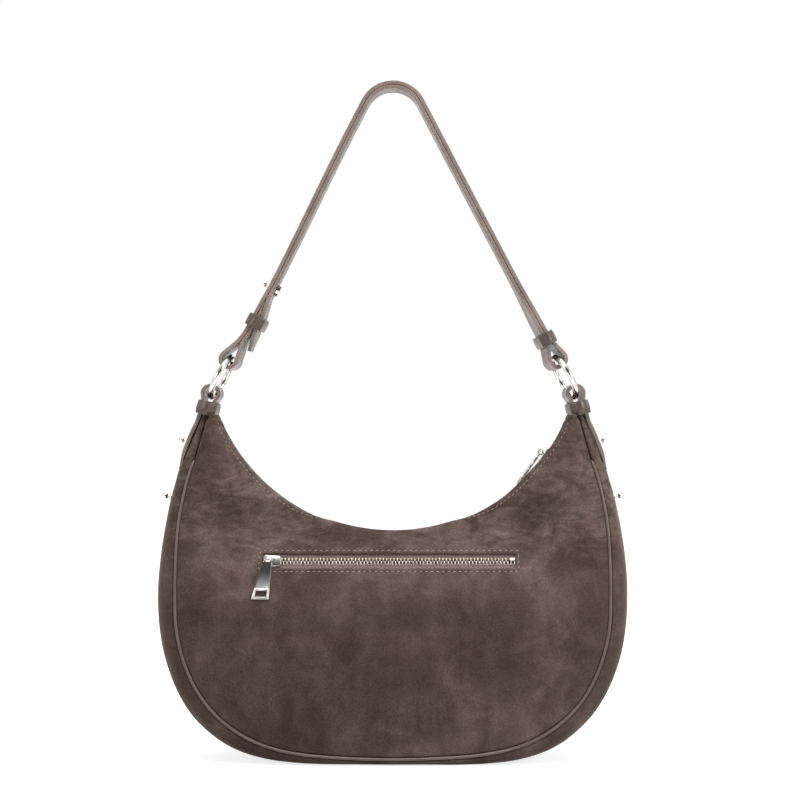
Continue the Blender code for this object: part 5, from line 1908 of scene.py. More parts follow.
@dataclass
class SliderAndPull:
    """A zip's slider with its bail, and the plain pull tab that hangs on it."""

    name: str
    slider_body: Body
    pull_body: Body
    place: Matrix
    bail_turn: float
    bail_shift: float
    pull_turn: float
    lean: float
    drop: float
    length: float = 0.0128
    width: float = 0.0088
    plate: float = 0.0015
    low: float = 0.0018
    waist: float = 0.78
    bail_span: float = 0.0066
    bail_wire: float = 0.0007
    bar_height: float = 0.0058
    eye_inner: float = 0.00129
    eye_outer: float = 0.00219
    eye_width: float = 0.0030
    pull_length: float = 0.0290
    pull_top: float = 0.0066
    pull_end: float = 0.0124
    pull_thickness: float = 0.0018
    pull_neck: float = 0.0019
    window_length: float = 0.0044
    rim: float = 0.0017
    recess: float = 0.00022
    field_inset: float = 0.0006
    plate_corner: float = 0.0020
    plate_round: float = 0.00035
    guide_share: float = 0.62
    guide_size: tuple[float, float] = (0.0007, 0.0010)
    guide_shift: float = 0.0012
    guide_drop: float = 0.0003
    guide_round: float = 0.0002
    post_size: tuple[float, float] = (0.0014, 0.0006)
    post_round: float = 0.0001
    bail_corner: float = 0.0010
    bail_steps: int = 5
    pull_round: float = 0.00016
    eye_round: float = 0.0002
    eye_steps: int = 28

    def plate_mesh(self, side: int) -> Mesh:
        """The slider's upper or lower plate.

        Args:
            side: 1 for the upper plate and -1 for the lower.

        Returns:
            The plate's mesh.
        """
        bm = bmesh.new()
        bmesh.ops.create_cube(bm, size=1)
        bmesh.ops.scale(bm, vec=Vector((self.length, self.width, self.plate)), verts=bm.verts)
        rear = [vert for vert in bm.verts if vert.co.x > 0]
        bmesh.ops.scale(bm, vec=Vector((1, self.waist, 1)), verts=rear)
        upright = [e for e in bm.edges if abs(e.verts[0].co.z - e.verts[1].co.z) > self.plate / 2]
        bevelled(bm, upright, self.plate_corner, 5)
        bevelled(bm, sharp_edges(bm, 60), self.plate_round, 3)
        bmesh.ops.translate(bm, vec=Vector((0, 0, side * (self.low + self.plate / 2))), verts=bm.verts)
        return bm

    def bail_path(self) -> list[Vector]:
        """The bail's wire, from one foot over the bar to the other foot."""
        reach, corner = self.bail_span / 2 - self.bail_wire, self.bail_corner
        foot = self.low + self.plate - self.bail_wire
        path = [Vector((-reach, 0, foot))]
        for middle, start in ((-reach + corner, math.pi), (reach - corner, QUARTER)):
            centre = (middle, self.bar_height - corner)
            arc = arc_points(centre, corner, start, start - QUARTER, self.bail_steps)
            path += [spatial(point) for point in arc]
        return path + [Vector((reach, 0, foot))]

    def slider(self) -> None:
        """Builds the slider."""
        meshes = [self.plate_mesh(1), self.plate_mesh(-1)]
        thick, high = self.guide_size
        for y in (-1, 1):
            for z in (-1, 1):
                spot = (-self.guide_shift, y * (self.width / 2 - thick), z * (self.low - self.guide_drop))
                size = (self.length * self.guide_share, thick, high)
                meshes.append(block(size, Matrix.Translation(spot), self.guide_round))
        post = Matrix.Translation((self.guide_shift - self.length / 2, 0, 0))
        meshes.append(block((*self.post_size, 2 * self.low + self.plate), post, self.post_round))
        bail = laid_tube(self.bail_path(), self.bail_wire, 12)
        turn = Matrix.Translation((-self.bail_shift, 0, 0)) @ Matrix.Rotation(self.bail_turn, 4, "Z")
        bmesh.ops.transform(bail, matrix=turn, verts=bail.verts)
        bm = merged([*meshes, bail])
        bmesh.ops.transform(bm, matrix=self.place, verts=bm.verts)
        item = stand_in(self.name + "_slider", "metal", "nickel", self.slider_body).show(bm, NICKEL)
        item.data.set_sharp_from_angle(angle=math.radians(50))

    def tab_mesh(self) -> Mesh:
        """The pull's tab: a tapered plate with a window near its end and a sunk field, left bare."""
        top, end = self.pull_top / 2, self.pull_end / 2
        rows = [
            -self.pull_neck,
            self.window_length + self.rim * 2 - self.pull_length,
            self.window_length + self.rim - self.pull_length,
            self.rim - self.pull_length,
            -self.pull_length,
        ]

        def place(a: float, b: float) -> Vector:
            """Corner of the plate's grid."""
            y = rows[round((1 - b) * 4)]
            half = lerp(top, end, (-y - self.pull_neck) / (self.pull_length - self.pull_neck))
            x = (-half, self.rim - half, half - self.rim, half)[round(a * 3)]
            return Vector((x + y * math.tan(self.lean), y, self.pull_thickness / 2))

        bm = laid_grid(3, 4, place)
        bm.faces.ensure_lookup_table()
        window_y = (rows[2] + rows[3]) / 2
        window = Vector((window_y * math.tan(self.lean), window_y, self.pull_thickness / 2))
        nearest = min(bm.faces, key=lambda f: (f.calc_center_median() - window).length)
        bmesh.ops.delete(bm, geom=[nearest], context="FACES")
        face_outwards(bm, Vector((0, 0, 1)))
        made = bmesh.ops.extrude_face_region(bm, geom=list(bm.faces))["geom"]
        lower = [item for item in made if isinstance(item, Vert)]
        bmesh.ops.translate(bm, vec=Vector((0, 0, -self.pull_thickness)), verts=lower)
        bmesh.ops.recalc_face_normals(bm, faces=bm.faces)
        bm.normal_update()
        field_faces = [f for f in bm.faces if f.normal.z > 0.9 and f.calc_center_median().y > rows[1]]
        bmesh.ops.inset_region(bm, faces=field_faces, thickness=self.field_inset, depth=-self.recess)
        bm.normal_update()
        for face in bm.faces:
            face.material_index = int(face.calc_center_median().y < rows[1] or abs(face.normal.z) < 0.5)
        bevelled(bm, sharp_edges(bm, 35), self.pull_round, 2)
        return bm

    def eye_mesh(self) -> Mesh:
        """The pull's eye, a short tube round the bail's bar."""
        inner, outer, half = self.eye_inner, self.eye_outer, self.eye_width / 2
        ring = bmesh.new()
        corners = [(inner, -half), (outer, -half), (outer, half), (inner, half)]
        verts = [ring.verts.new((radius, 0, height)) for radius, height in corners]
        edges = [ring.edges.new((verts[n], verts[(n + 1) % 4])) for n in range(4)]
        turned(ring, verts + edges, self.eye_steps)
        bmesh.ops.recalc_face_normals(ring, faces=ring.faces)
        bevelled(ring, sharp_edges(ring, 60), self.eye_round, 2)
        bmesh.ops.rotate(ring, matrix=Matrix.Rotation(QUARTER, 3, "Y"), verts=ring.verts)
        return ring

    def pull(self) -> None:
        """Builds the pull, hung on the bail."""
        whole = merged([self.tab_mesh(), self.eye_mesh()])
        eye = self.place @ Matrix.Translation((-self.bail_shift, 0, self.bar_height))
        hung = eye @ Matrix.Rotation(self.pull_turn, 4, "Z") @ Matrix.Rotation(self.drop, 4, "X")
        bmesh.ops.transform(whole, matrix=hung, verts=whole.verts)
        item = stand_in(self.name + "_pull", "metal", "nickel", self.pull_body).show(whole, NICKEL, BRUSHED)
        item.data.set_sharp_from_angle(angle=math.radians(30))

    def build(self) -> None:
        """Builds the slider and the pull."""
        self.slider()
        self.pull()


@dataclass
class Linings:
    """The cloth inside: both panels' linings, the gusset's lining and the pocket's pouch."""

    form: BagForm = FORM
    columns: int = 128
    rows: int = 30
    end: float = 2 / 36
    gusset_share: float = 0.75
    row_share: float = 1.7
    pouch_space: float = 0.009
    pouch_fall: float = 0.078
    pouch_rise: float = 0.011
    pouch_side: float = 0.004
    pouch_gap: float = 0.0024
    pouch_seat: float = 0.0011
    pouch_slope: float = 0.0020
    zip_inset: float = 0.0023
    panel_cloth: tuple[float, float] = (0.7, 0.13)
    gusset_cloth: tuple[float, float] = (0.75, 0.08)
    pouch_grid: tuple[int, int] = (94, 44)

    def pouch_field(self, x: float, z: float) -> float:
        """1 over the pouch behind the pocket and 0 away from it."""
        form = self.form
        beyond_x = abs(x - form.pocket_centre) - form.pocket_length / 2 - self.pouch_side - form.lining
        above = z - form.pocket_height - self.pouch_rise
        below = form.pocket_height - self.pouch_fall - z
        inside = smooth_share(1 - beyond_x / form.pocket_fade) * smooth_share(1 - above / form.pocket_fade)
        return inside * smooth_share(1 - below / form.pocket_fade)

    def behind(self, u: float, v: float, depth: float) -> Vector:
        """Point at a depth behind the back panel."""
        form, step = self.form, self.form.normal_step
        along = form.panel(min(u + step, 1), v) - form.panel(max(u - step, 0), v)
        across = form.panel(u, v + step) - form.panel(u, max(v - step, 0))
        return form.panel(u, v) - across.cross(along).normalized() * depth

    def panel_lining(self, face: Face) -> None:
        """Builds the lining behind one panel."""
        form = self.form
        top = self.zip_inset + form.lining_gap
        foot = form.piping_radius + form.seam_gap + form.suede + form.lining_gap + form.lining
        depth = form.suede + form.lining_gap
        space = self.pouch_space + form.lining + self.pouch_gap - depth

        def place(a: float, b: float) -> Vector:
            """Point on the lining's outer face."""
            u = lerp(self.end, 1 - self.end, a)
            reach = form.reach(u)
            v = lerp(top / reach, 1 - foot / reach, b**self.row_share)
            point = self.behind(u, v, depth)
            if face is Face.FRONT:
                return Vector((point.x, -point.y, point.z))
            field = self.pouch_field(point.x, point.z) * smooth_share(v / form.pocket_edge)
            return point + Vector((0, space * field, 0))

        bm = laid_grid(self.columns, self.rows, place, self.panel_cloth)
        face_outwards(bm, Vector((0, face.value, 0)))
        item = stand_in(f"{face.word}_lining", "cloth", "lining").show(bm, LINING_WEAVE)
        thicken(item, form.lining, -1)

    def gusset_lining(self) -> None:
        """Builds the lining inside the gusset."""
        form, step = self.form, self.form.normal_step
        lift = form.piping_radius + form.seam_gap

        def place(a: float, b: float) -> Vector:
            """Point on the lining's outer face."""
            u, turn = lerp(self.end, 1 - self.end, a), (1 - 2 * b) * self.gusset_share
            along = form.gusset(min(u + step, 1), turn, lift) - form.gusset(max(u - step, 0), turn, lift)
            across = form.gusset(u, turn + step, lift) - form.gusset(u, turn - step, lift)
            normal = along.cross(across).normalized()
            return form.gusset(u, turn, lift) + normal * (form.suede + form.lining_gap)

        bm = laid_grid(self.columns, self.rows, place, self.gusset_cloth)
        face_away(bm, Vector((0, 0, form.horn_height / 2)))
        item = stand_in("gusset_lining", "cloth", "lining").show(bm, LINING_WEAVE)
        thicken(item, form.lining, -1)

    def pouch(self) -> None:
        """Builds the pocket's cloth: a tray sewn to the back of the panel."""
        form = self.form
        half = form.pocket_length / 2 + self.pouch_side
        seat = (form.suede + self.pouch_seat) / math.cos(form.pocket_tilt)
        low, high = form.pocket_height - self.pouch_fall, form.pocket_height + self.pouch_rise

        def place(a: float, b: float) -> Vector:
            """Point on the pouch's outer face, which rises to the panel at its edges."""
            x = lerp(form.pocket_centre - half, form.pocket_centre + half, a)
            z = lerp(low, high, b)
            edge = min(half - abs(x - form.pocket_centre), z - low, high - z)
            depth = lerp(seat, self.pouch_space, smooth_share(edge / self.pouch_slope))
            return self.panel_at(x, z) + Vector((0, depth, 0))

        bm = laid_grid(*self.pouch_grid, place, (2 * half, high - low))
        face_outwards(bm, Vector((0, -1, 0)))
        item = stand_in("pocket_pouch", "cloth", "lining").show(bm, LINING_WEAVE)
        thicken(item, form.lining, -1)

    def panel_at(self, x: float, z: float) -> Vector:
        """Outer face of the back panel at a place in the plane of the bag."""
        return self.form.panel(*shares_at(self.form, Vector((x, 0, z))))

    def build(self) -> None:
        """Builds all four cloths."""
        for face in Face:
            self.panel_lining(face)
        self.gusset_lining()
        self.pouch()


@dataclass
class Horn:
    """One horn's leather: the loop tab over the ring's wire and the keeper round its two arms."""

    side: Side
    lines: Rigging = RIGGING
    keeper_width: float = 0.0145
    keeper_wall: float = 0.0016
    arm_play: float = 0.0005
    keeper_play: float = 0.0012
    tab_width: float = 0.0170
    tab_gap: float = 0.0004
    tab_inner_gap: float = 0.0012
    inner_share: float = 0.5
    shares: tuple[float, ...] = (0.081, 0.012, 0.030, 0.055)
    points: int = 14
    turn_share: float = 0.5
    turn_fade: float = 0.0080
    setback: float = 0.0040
    rounding: float = 0.00045
    foot_sink: float = 0.0016
    foot_share: float = 0.35
    skived_foot: tuple[float, ...] = (0.34, 0.48, 0.62, 0.76, 0.90)

    def path(self) -> list[Vector]:
        """The tab's middle line: up outside the gusset, over the ring's wire and down inside."""
        lines, form, half = self.lines, self.lines.form, self.lines.keeper_half
        outside = self.tab_gap + lines.leather / 2
        inside = -form.suede - self.tab_inner_gap - lines.leather / 2
        arm = self.keeper_width / 2 - self.keeper_wall - self.arm_play - lines.leather / 2
        hole = lines.loop_hole + lines.leather / 2
        centre = half + lines.ring_seat + lines.loop_drop
        foot, top, inner_top, inner_foot = self.shares
        steps = [index / (self.points - 1) for index in range(self.points)]
        result = []
        for share in steps:
            sink = self.foot_sink * smooth_share(1 - share / self.foot_share)
            result.append(form.gusset_middle(self.side.share(lerp(foot, top, share)), outside - sink)[0])
        loop = lines.arc((0, centre), hole, -lines.arc_step, math.pi + lines.arc_step)
        horn = [(arm, -half), (arm, half)] + [tuple(point) for point in loop] + [(-arm, half), (-arm, -half)]
        result += [lines.horn_point(self.side, along, out) for out, along in horn]
        for share in steps:
            result.append(form.gusset_middle(self.side.share(lerp(inner_top, inner_foot, share)), inside)[0])
        return lines.softened(result, self.setback)

    def tab(self) -> None:
        """Builds the loop tab."""
        lines, side = self.lines, self.side.value
        origin, axis = spatial(lines.horn_point(self.side, 0, 0)), lines.horn_axis(self.side)
        turn = lines.ring_turn(self.side) * self.turn_share
        path = self.path()

        def place(index: int, point: Vector, y: float) -> Vector:
            """Point of the tab, twisted with its ring at the top."""
            offset = spatial(point) - origin
            below = -lines.keeper_half - offset.dot(axis)
            if side * offset.x < 0 or index > len(path) / 2:
                y *= lerp(1, self.inner_share, smooth_share(below / self.turn_fade))
            return rolled(spatial(point, y), origin, axis, turn * smooth_share(1 - below / self.turn_fade))

        bm = lines.strip(path, self.tab_width / 2, place)
        item = stand_in(f"{self.side.word}_loop_tab", "leather", "strap_leather").show(bm, LIGHTENED_LEATHER, EDGE)
        thicken(item, lines.leather, 0, 1)
        lines.skive(item, self.skived_foot)
        round_edges(item, self.rounding)

    def keeper(self) -> None:
        """Builds the keeper."""
        lines = self.lines
        outward, axis = lines.horn_outward(self.side), lines.horn_axis(self.side)
        frame = frame_matrix(spatial(lines.horn_point(self.side, 0, 0)), outward, axis.cross(outward))
        frame = frame @ Matrix.Rotation(lines.ring_turn(self.side) * self.turn_share, 4, "Z")
        inner = (self.keeper_width / 2 - self.keeper_wall, self.tab_width / 2 + self.keeper_play)
        piece = stand_in(f"{self.side.word}_horn_keeper", "band", "strap_leather")
        KeeperBand(inner, self.keeper_wall, lines.keeper_half, frame).build(piece)

    def build(self) -> None:
        """Builds the tab and the keeper."""
        self.tab()
        self.keeper()


@dataclass
class KeeperBand:
    """A leather band round a stack of leather, a little domed, with rounded edges."""

    inner: tuple[float, float]
    wall: float
    half_length: float
    place: Matrix
    corner: float = 0.0016
    bulge: float = 0.0009
    front_bulge: float = 0.0030
    dome: float = 0.00045
    rounding: float = 0.0004
    corner_steps: int = 7
    side_steps: int = 8
    rows: int = 8

    def outline(self) -> list[tuple[float, float]]:
        """The band's outer outline, with softly swelling sides."""
        half_x, half_y = self.inner[0] + self.wall, self.inner[1] + self.wall
        points = []
        for quarter, (sx, sy) in enumerate(((1, 1), (-1, 1), (-1, -1), (1, -1))):
            centre = (sx * (half_x - self.corner), sy * (half_y - self.corner))
            start = QUARTER * quarter
            arc = arc_points(centre, self.corner, start, start + QUARTER, self.corner_steps)
            points += [tuple(point) for point in arc]
            along_x = quarter % 2 == 0
            reach = (half_x if along_x else half_y) - self.corner
            for step in range(1, self.side_steps):
                share = 1 - 2 * step / self.side_steps
                swell = (self.front_bulge if along_x else self.bulge) * math.cos(QUARTER * share)
                x = sx * share * reach if along_x else sx * (half_x + swell)
                y = sy * (half_y + swell) if along_x else sy * share * reach
                points.append((x, y))
        return points + [points[0]]

    def build(self, piece: Piece) -> None:
        """Builds the band.

        Args:
            piece: Its place among the pieces.
        """
        outline = self.outline()
        last = len(outline) - 1

        def place(a: float, b: float) -> Vector:
            """Point on the band's outer face."""
            x, y = outline[round(a * last)]
            edge = 2 * b - 1
            lift = 1 - self.dome * edge * edge / max(abs(x), abs(y))
            return self.place @ Vector((x * lift, y * lift, edge * self.half_length))

        girth = 4 * (sum(self.inner) + 2 * self.wall)
        bm = laid_grid(last, self.rows, place, (girth, 2 * self.half_length))
        bmesh.ops.remove_doubles(bm, verts=bm.verts, dist=MERGE)
        bmesh.ops.recalc_face_normals(bm, faces=bm.faces)
        face_away(bm, self.place.translation)
        item = piece.show(bm, BAND_LEATHER, EDGE)
        thicken(item, self.wall, -1, 1)
        round_edges(item, self.rounding)


@dataclass
class Hardware:
    """The rings and the ball studs."""

    lines: Rigging = RIGGING
    ring_steps: int = 120
    wire_steps: int = 28
    upper_share: float = 0.042
    lower_share: float = 0.1206
    ball: float = 0.0022
    neck: float = 0.0014
    neck_length: float = 0.0008
    spare_neck_length: float = 0.0016
    shank: float = 0.0012
    collar: float = 0.0026
    collar_height: float = 0.0007
    strap_place: float = 0.0583
    tab_gap: float = 0.0004
    tab_inner_gap: float = 0.0012
    screw_gap: float = 0.0008
    fillet: float = 0.0002
    ball_steps: int = 14
    stud_steps: int = 36

    def ring(self, side: Side) -> None:
        """Builds one ring."""
        lines = self.lines
        foot = spatial(lines.horn_point(side, lines.keeper_half + lines.ring_seat, 0))
        frame = frame_matrix(foot, lines.leg_direction(side), Vector((0, 1, 0)))
        frame = frame @ Matrix.Rotation(lines.ring_turn(side), 4, "X")
        frame = frame @ Matrix.Translation((lines.ring_radius, 0, 0))
        bm = bmesh.new()
        upright = Matrix.Translation((lines.ring_radius, 0, 0)) @ Matrix.Rotation(QUARTER, 4, "X")
        made = bmesh.ops.create_circle(bm, segments=self.wire_steps, radius=lines.ring_wire, matrix=upright)
        turned(bm, made["verts"] + list(bm.edges), self.ring_steps)
        bmesh.ops.recalc_face_normals(bm, faces=bm.faces)
        bmesh.ops.transform(bm, matrix=frame, verts=bm.verts)
        body = Body.LEFT_RING if side is Side.LEFT else Body.RIGHT_RING
        stand_in(f"{side.word}_ring", "metal", "nickel", body).show(bm, NICKEL)

    def stud(self, name: str, body: Body, seat: Vector, direction: Vector, neck: float, shank: float) -> None:
        """Builds one ball stud on its seat.

        Args:
            name: The stud's node.
            body: The body that it moves with.
            seat: Where it stands.
            direction: Where its ball points.
            neck: Length of its neck.
            shank: Length of its shank.
        """
        gap = self.lines.form.fit_gap
        base = gap + self.collar_height
        centre = base + neck + self.ball
        low = -math.acos((self.neck + self.fillet) / self.ball)
        profile = [(0.0, centre + self.ball)]
        ball = arc_points((0, centre), self.ball, QUARTER, low, self.ball_steps)
        profile += [tuple(point) for point in ball[1:]]
        foot = base + self.fillet
        profile += [(self.neck, profile[-1][1] - self.fillet), (self.neck, foot + self.fillet)]
        profile += [(self.neck + self.fillet, foot), (self.collar - self.fillet, base)]
        profile += [(self.collar, base - self.fillet), (self.collar, gap)]
        profile += [(self.shank, gap), (self.shank, -shank), (0.0, -shank)]
        bm = spun(profile, facing_matrix(seat, direction), self.stud_steps)
        item = stand_in(name, "metal", "nickel", body).show(bm, NICKEL)
        item.data.set_sharp_from_angle(angle=math.radians(50))

    def build(self) -> None:
        """Builds the rings and the studs."""
        lines, form = self.lines, self.lines.form
        thickness = lines.leather + self.tab_gap
        upper = thickness + form.suede + self.tab_inner_gap + lines.leather
        lower = form.suede + form.lining_gap + form.lining + self.screw_gap
        for side in Side:
            self.ring(side)
            for word, share, off, neck, shank in (
                ("tab", self.upper_share, thickness, self.neck_length, upper),
                ("spare", self.lower_share, 0, self.spare_neck_length, lower),
            ):
                place, normal = form.gusset_middle(side.share(share), off)
                self.stud(f"{side.word}_{word}_stud", Body.BAG, spatial(place), normal, neck, shank)
        seat = spatial(lines.leg_point(Side.LEFT, self.strap_place, lines.half_stack))
        outward = lines.leg_outward(Side.LEFT)
        self.stud("strap_stud", Body.STRAP, seat, outward, self.neck_length, 2 * lines.half_stack)


@dataclass
class Strap:
    """The shoulder strap: one leather strip folded in two runs through both rings."""

    lines: Rigging = RIGGING
    width: float = 0.0190
    fold_end: float = 0.0330
    skived_end: tuple[tuple[float, float, float], ...] = (
        (0.0470, -0.00032, 0.06),
        (0.0445, -0.00058, 0.27),
        (0.0415, -0.00089, 0.52),
        (0.0385, -0.00120, 0.76),
        (0.0350, -0.00150, 1.0),
    )
    tail_merge: float = 0.0500
    tail_parts: float = 0.0260
    tail_end: float = 0.0100
    tail_spread: float = 0.0040
    tail_taper: float = 0.45
    leg_step: float = 0.0050
    setback: float = 0.0040
    rounding: float = 0.00045
    keeper_places: tuple[float, float] = (0.0310, 0.0145)
    keeper_half: float = 0.0045
    keeper_wall: float = 0.0017
    keeper_play: float = 0.0005
    right_play: float = 0.0015
    right_turn_share: float = 0.8

    def run(self, side: Side, start: float, end: float, out: float) -> list[Vector]:
        """Points between two places on a leg."""
        count = max(math.ceil(abs(end - start) / self.leg_step), 1)
        return [self.lines.leg_point(side, lerp(start, end, step / count), out) for step in range(1, count)]

    def crown(self, side: Side, out: float) -> list[Vector]:
        """The arc over the crown, from the leg on a side to the other leg."""
        lines = self.lines
        centre = (0, lines.strap_top - lines.crown_radius)
        first = QUARTER - side.value * lines.leg_angle
        radius = lines.crown_radius - lines.half_stack + out
        return lines.arc(centre, radius, first, math.pi - first)

    def path(self) -> list[Vector]:
        """The strap's middle line, from the end sewn in at the left ring to the free tail."""
        lines = self.lines
        outer, inner, neck, top = lines.run_offset, -lines.run_offset, lines.loop_neck, lines.leg_length
        radius = lines.loop_hole + lines.leather / 2
        reach = math.hypot(neck + lines.loop_drop, outer)
        touch = math.atan2(outer, neck + lines.loop_drop) + math.acos(radius / reach)
        arc = lines.arc((-lines.loop_drop, 0), radius, -touch, touch - math.tau)
        loop = [(neck, inner)] + [tuple(point) for point in arc] + [(neck, outer)]
        low = inner - lines.leather - lines.run_gap
        left, right = Side.LEFT, Side.RIGHT
        path = [lines.leg_point(left, along, out) for along, out, _ in self.skived_end]
        path += self.run(left, self.skived_end[-1][0], neck, inner)
        path += [lines.leg_point(left, *point) for point in loop] + self.run(left, neck, top, outer)
        path += self.crown(left, outer) + self.run(right, top, neck, outer)
        path += [lines.leg_point(right, *point) for point in reversed(loop)]
        path += self.run(right, neck, top, inner)
        path += self.crown(right, inner) + self.run(left, top, self.tail_merge, inner)
        tail = [(self.tail_merge, inner), (self.fold_end + lines.leather, low), (self.tail_parts, low)]
        tail.append((self.tail_end, low - self.tail_spread))
        path += [lines.leg_point(left, *point) for point in tail]
        return lines.softened(path, self.setback)

    def band(self) -> None:
        """Builds the strap."""
        lines = self.lines
        path = self.path()
        tip = len(path) - 1

        def place(index: int, point: Vector, y: float) -> Vector:
            """Point of the strap, twisted with its rings."""
            side = Side.LEFT if point.x < 0 else Side.RIGHT
            foot, direction = spatial(lines.leg_point(side, 0, 0)), lines.leg_direction(side)
            angle = lines.leg_turn(side, (spatial(point) - foot).dot(direction))
            width = self.tail_taper if index == tip else 1
            return rolled(spatial(point, y * width), foot, direction, angle)

        bm = lines.strip(path, self.width / 2, place)
        item = stand_in("shoulder_strap", "leather", "strap_leather", Body.STRAP).show(bm, LIGHTENED_LEATHER, EDGE)
        thicken(item, lines.leather, 0, 1)
        lines.skive(item, [share for _, _, share in self.skived_end])
        round_edges(item, self.rounding)

    def keepers(self) -> None:
        """Builds the two keepers on the strap."""
        lines = self.lines
        layer = lines.leather + lines.run_gap
        for side, along, out, half_x, body in (
            (Side.LEFT, self.keeper_places[0], -layer / 2, layer / 2 + self.keeper_play, Body.LEFT_KEEPER),
            (Side.RIGHT, self.keeper_places[1], 0.0, self.right_play, Body.RIGHT_KEEPER),
        ):
            outward, direction = lines.leg_outward(side), lines.leg_direction(side)
            middle = spatial(lines.leg_point(side, along, out))
            frame = frame_matrix(middle, outward, direction.cross(outward))
            share = 1 if side is Side.LEFT else self.right_turn_share
            frame = frame @ Matrix.Rotation(lines.leg_turn(side, along) * share, 4, "Z")
            inner = (lines.half_stack + half_x, self.width / 2 + self.keeper_play)
            piece = stand_in(f"{side.word}_strap_keeper", "band", "strap_leather", body)
            KeeperBand(inner, self.keeper_wall, self.keeper_half, frame).build(piece)

    def build(self) -> None:
        """Builds the strap and its keepers."""
        self.band()
        self.keepers()


@dataclass
class KeptParts:
    """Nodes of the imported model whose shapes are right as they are: they only get their finish."""

    finishes: tuple[tuple[str, Finish], ...] = (
        ("base_board", BOARD),
        ("left_tab_stud_screw", NICKEL),
        ("right_tab_stud_screw", NICKEL),
        ("left_spare_stud_screw", NICKEL),
        ("right_spare_stud_screw", NICKEL),
        ("strap_stud_screw", NICKEL),
    )

    def build(self) -> None:
        """Dresses each node."""
        for name, finish in self.finishes:
            node = bpy.data.objects[name]
            for slot in node.material_slots:
                slot.material = finish.material()
            LOG.info("%s: dressed in %s", name, finish.name)


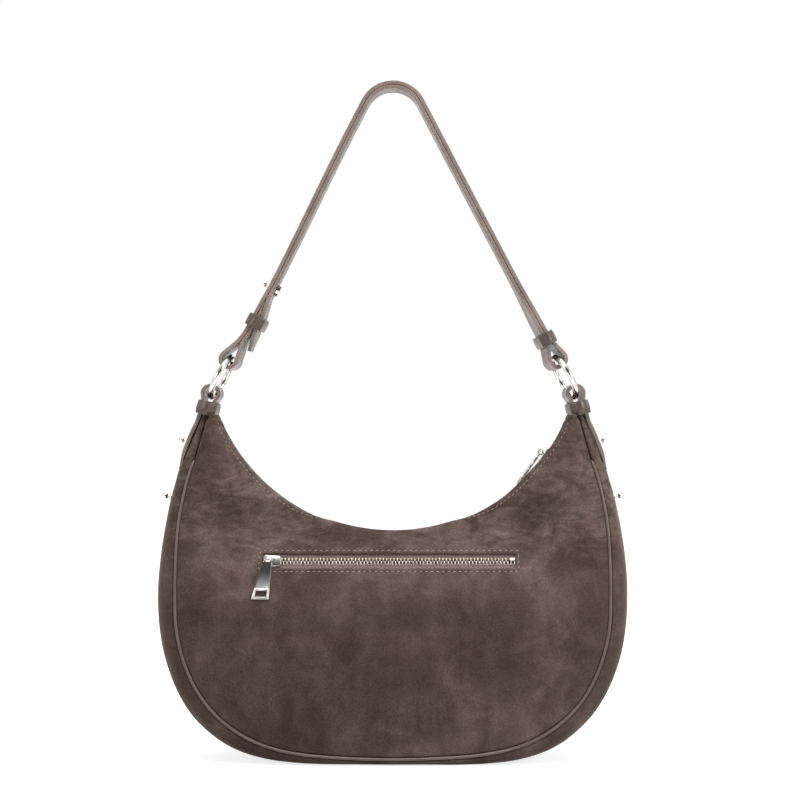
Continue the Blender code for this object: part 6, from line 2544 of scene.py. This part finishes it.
@dataclass
class Studio:
    """Camera, plain lamps and a white surround that keeps the contact shadow."""

    eye: tuple[float, float, float] = (0.0051, -1.25, 0.2572)
    lens: float = 77.48
    lamps: tuple[tuple[str, tuple[float, float, float], float, float], ...] = (
        ("right_lamp", (1.5, -1.1, 0.9), 0.9, 17.0),
        ("left_lamp", (-1.5, -1.1, 0.9), 0.9, 10.0),
        ("top_lamp", (0.1, -0.45, 1.7), 1.1, 26.0),
        ("rear_lamp", (0.0, 1.4, 1.2), 1.4, 10.0),
    )
    lamp_target: tuple[float, float, float] = (0.0, 0.0, 0.2)
    surround_dark: float = 0.10
    surround_light: float = 0.62
    surround_turn: tuple[float, float] = (-0.90, -0.20)
    floor_size: float = 3.0
    floor_level: float = -0.0004
    floor_shade: float = 0.55
    floor_glow: float = 0.78

    def camera(self) -> None:
        """Sets the camera up at the photo's angle."""
        data = bpy.data.cameras.new("front_camera")
        data.lens = self.lens
        data.sensor_width = 36.0
        data.clip_end = 20.0
        item = bpy.data.objects.new("front_camera", data)
        item.location = self.eye
        item.rotation_euler = (QUARTER, 0, 0)
        bpy.context.scene.collection.objects.link(item)
        bpy.context.scene.camera = item

    def light(self) -> None:
        """Hangs the lamps, each turned to the bag."""
        target = Vector(self.lamp_target)
        for name, place, size, power in self.lamps:
            data = bpy.data.lights.new(name, "AREA")
            data.shape = "DISK"
            data.size = size
            data.energy = power
            item = bpy.data.objects.new(name, data)
            item.location = place
            item.rotation_euler = (target - Vector(place)).to_track_quat("-Z", "Y").to_euler()
            bpy.context.scene.collection.objects.link(item)

    def rays(self, sketch: NodeSketch, share: Optional[Socket] = None) -> Socket:
        """Finds the rays that show the white background: the camera's, and those that metal sends out.

        Args:
            sketch: The sketch of the world or of a material.
            share: How far reflections show it, or none where they always do.

        Returns:
            1 for such a ray and 0 for others.
        """
        path = sketch.add("ShaderNodeLightPath").outputs
        shown = sketch.math("MAXIMUM", path["Is Glossy Ray"], path["Is Transmission Ray"])
        if share is not None:
            shown = sketch.math("MULTIPLY", shown, share)
        return sketch.math("MAXIMUM", shown, path["Is Camera Ray"])

    def surround(self) -> None:
        """Makes the world: white as a backdrop, and shaded off in the dark half of the studio."""
        world = bpy.data.worlds.new("white_surround")
        world.use_nodes = True
        bpy.context.scene.world = world
        sketch = NodeSketch(world.node_tree)
        sketch.tree.nodes.clear()
        place = sketch.add("ShaderNodeTexCoord").outputs["Generated"]
        depth = sketch.add("ShaderNodeSeparateXYZ", {0: place}).outputs["Y"]
        share = sketch.spread(depth, *self.surround_turn)
        inputs = {"Value": share, "To Min": self.surround_dark, "To Max": self.surround_light}
        strength = sketch.add("ShaderNodeMapRange", inputs).outputs["Result"]
        shaded = sketch.add("ShaderNodeBackground", {"Strength": strength}).outputs[0]
        plain = sketch.add("ShaderNodeBackground", {"Color": WHITE, "Strength": 1.0}).outputs[0]
        mix = sketch.add("ShaderNodeMixShader", {0: self.rays(sketch, share), 1: shaded, 2: plain})
        sketch.add("ShaderNodeOutputWorld", {"Surface": mix.outputs[0]})

    def floor(self) -> None:
        """Lays a floor that is white to the camera but keeps a faint contact shadow."""
        bm = bmesh.new()
        bmesh.ops.create_grid(bm, x_segments=1, y_segments=1, size=self.floor_size)
        bmesh.ops.translate(bm, vec=Vector((0, 0, self.floor_level)), verts=bm.verts)
        mesh = bpy.data.meshes.new("studio_floor")
        bm.to_mesh(mesh)
        bm.free()
        item = bpy.data.objects.new("studio_floor", mesh)
        bpy.context.scene.collection.objects.link(item)
        material = bpy.data.materials.new("studio_floor_white")
        material.use_nodes = True
        sketch = NodeSketch(material.node_tree)
        sketch.tree.nodes.clear()
        colour = (*(self.floor_shade,) * 3, 1)
        matte = sketch.add("ShaderNodeBsdfDiffuse", {"Color": colour}).outputs[0]
        glow = sketch.add("ShaderNodeEmission", {"Strength": self.floor_glow}).outputs[0]
        seen = sketch.add("ShaderNodeAddShader", {0: matte, 1: glow}).outputs[0]
        mix = sketch.add("ShaderNodeMixShader", {0: self.rays(sketch), 1: matte, 2: seen})
        sketch.add("ShaderNodeOutputMaterial", {"Surface": mix.outputs[0]})
        mesh.materials.append(material)

    def build(self) -> None:
        """Sets up camera, lamps, surround, floor and colour management."""
        self.camera()
        self.light()
        self.surround()
        self.floor()
        bpy.context.scene.view_settings.view_transform = "Standard"


@dataclass(frozen=True)
class ZipMetal:
    """Where both zips' sliders rest and how their pulls lie."""

    form: BagForm = FORM
    pocket_lean: float = math.radians(9.5)
    pocket_bail_shift: float = 0.0030
    top_share: float = 0.80852

    def build(self) -> None:
        """Builds both sliders with their pulls."""
        form, gap, zips = self.form, self.form.fit_gap, Zips(self.form)
        rest = SliderAndPull.length / 2 + gap - form.pocket_length / 2
        place = form.pocket_frame @ Matrix.Translation((rest, 0, -zips.pocket_depth))
        fall = SliderAndPull.bar_height - zips.pocket_depth - SliderAndPull.pull_thickness / 2 - gap
        drop = math.asin(fall / SliderAndPull.pull_length)
        bodies = (Body.POCKET_SLIDER, Body.POCKET_PULL)
        shift, lean = self.pocket_bail_shift, self.pocket_lean
        SliderAndPull("pocket", *bodies, place, 0.0, shift, 0.0, lean, drop).build()
        place = zips.arc_frame(form.mouth_angle * self.top_share)
        bodies = (Body.TOP_SLIDER, Body.TOP_PULL)
        SliderAndPull("top", *bodies, place, QUARTER, 0.0, -QUARTER, 0.0, 0.0).build()


def main() -> None:
    """Builds every sub-assembly in order."""
    logging.basicConfig(level=logging.INFO, format="%(name)s: %(message)s")
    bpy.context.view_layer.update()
    suede = SuedeBody()
    suede.build()
    Piping(suede).build()
    Seams(suede).build()
    Zips().build()
    ZipMetal().build()
    Linings().build()
    for side in Side:
        Horn(side).build()
    Hardware().build()
    Strap().build()
    KeptParts().build()
    Studio().build()


if __name__ == "__main__":
    main()
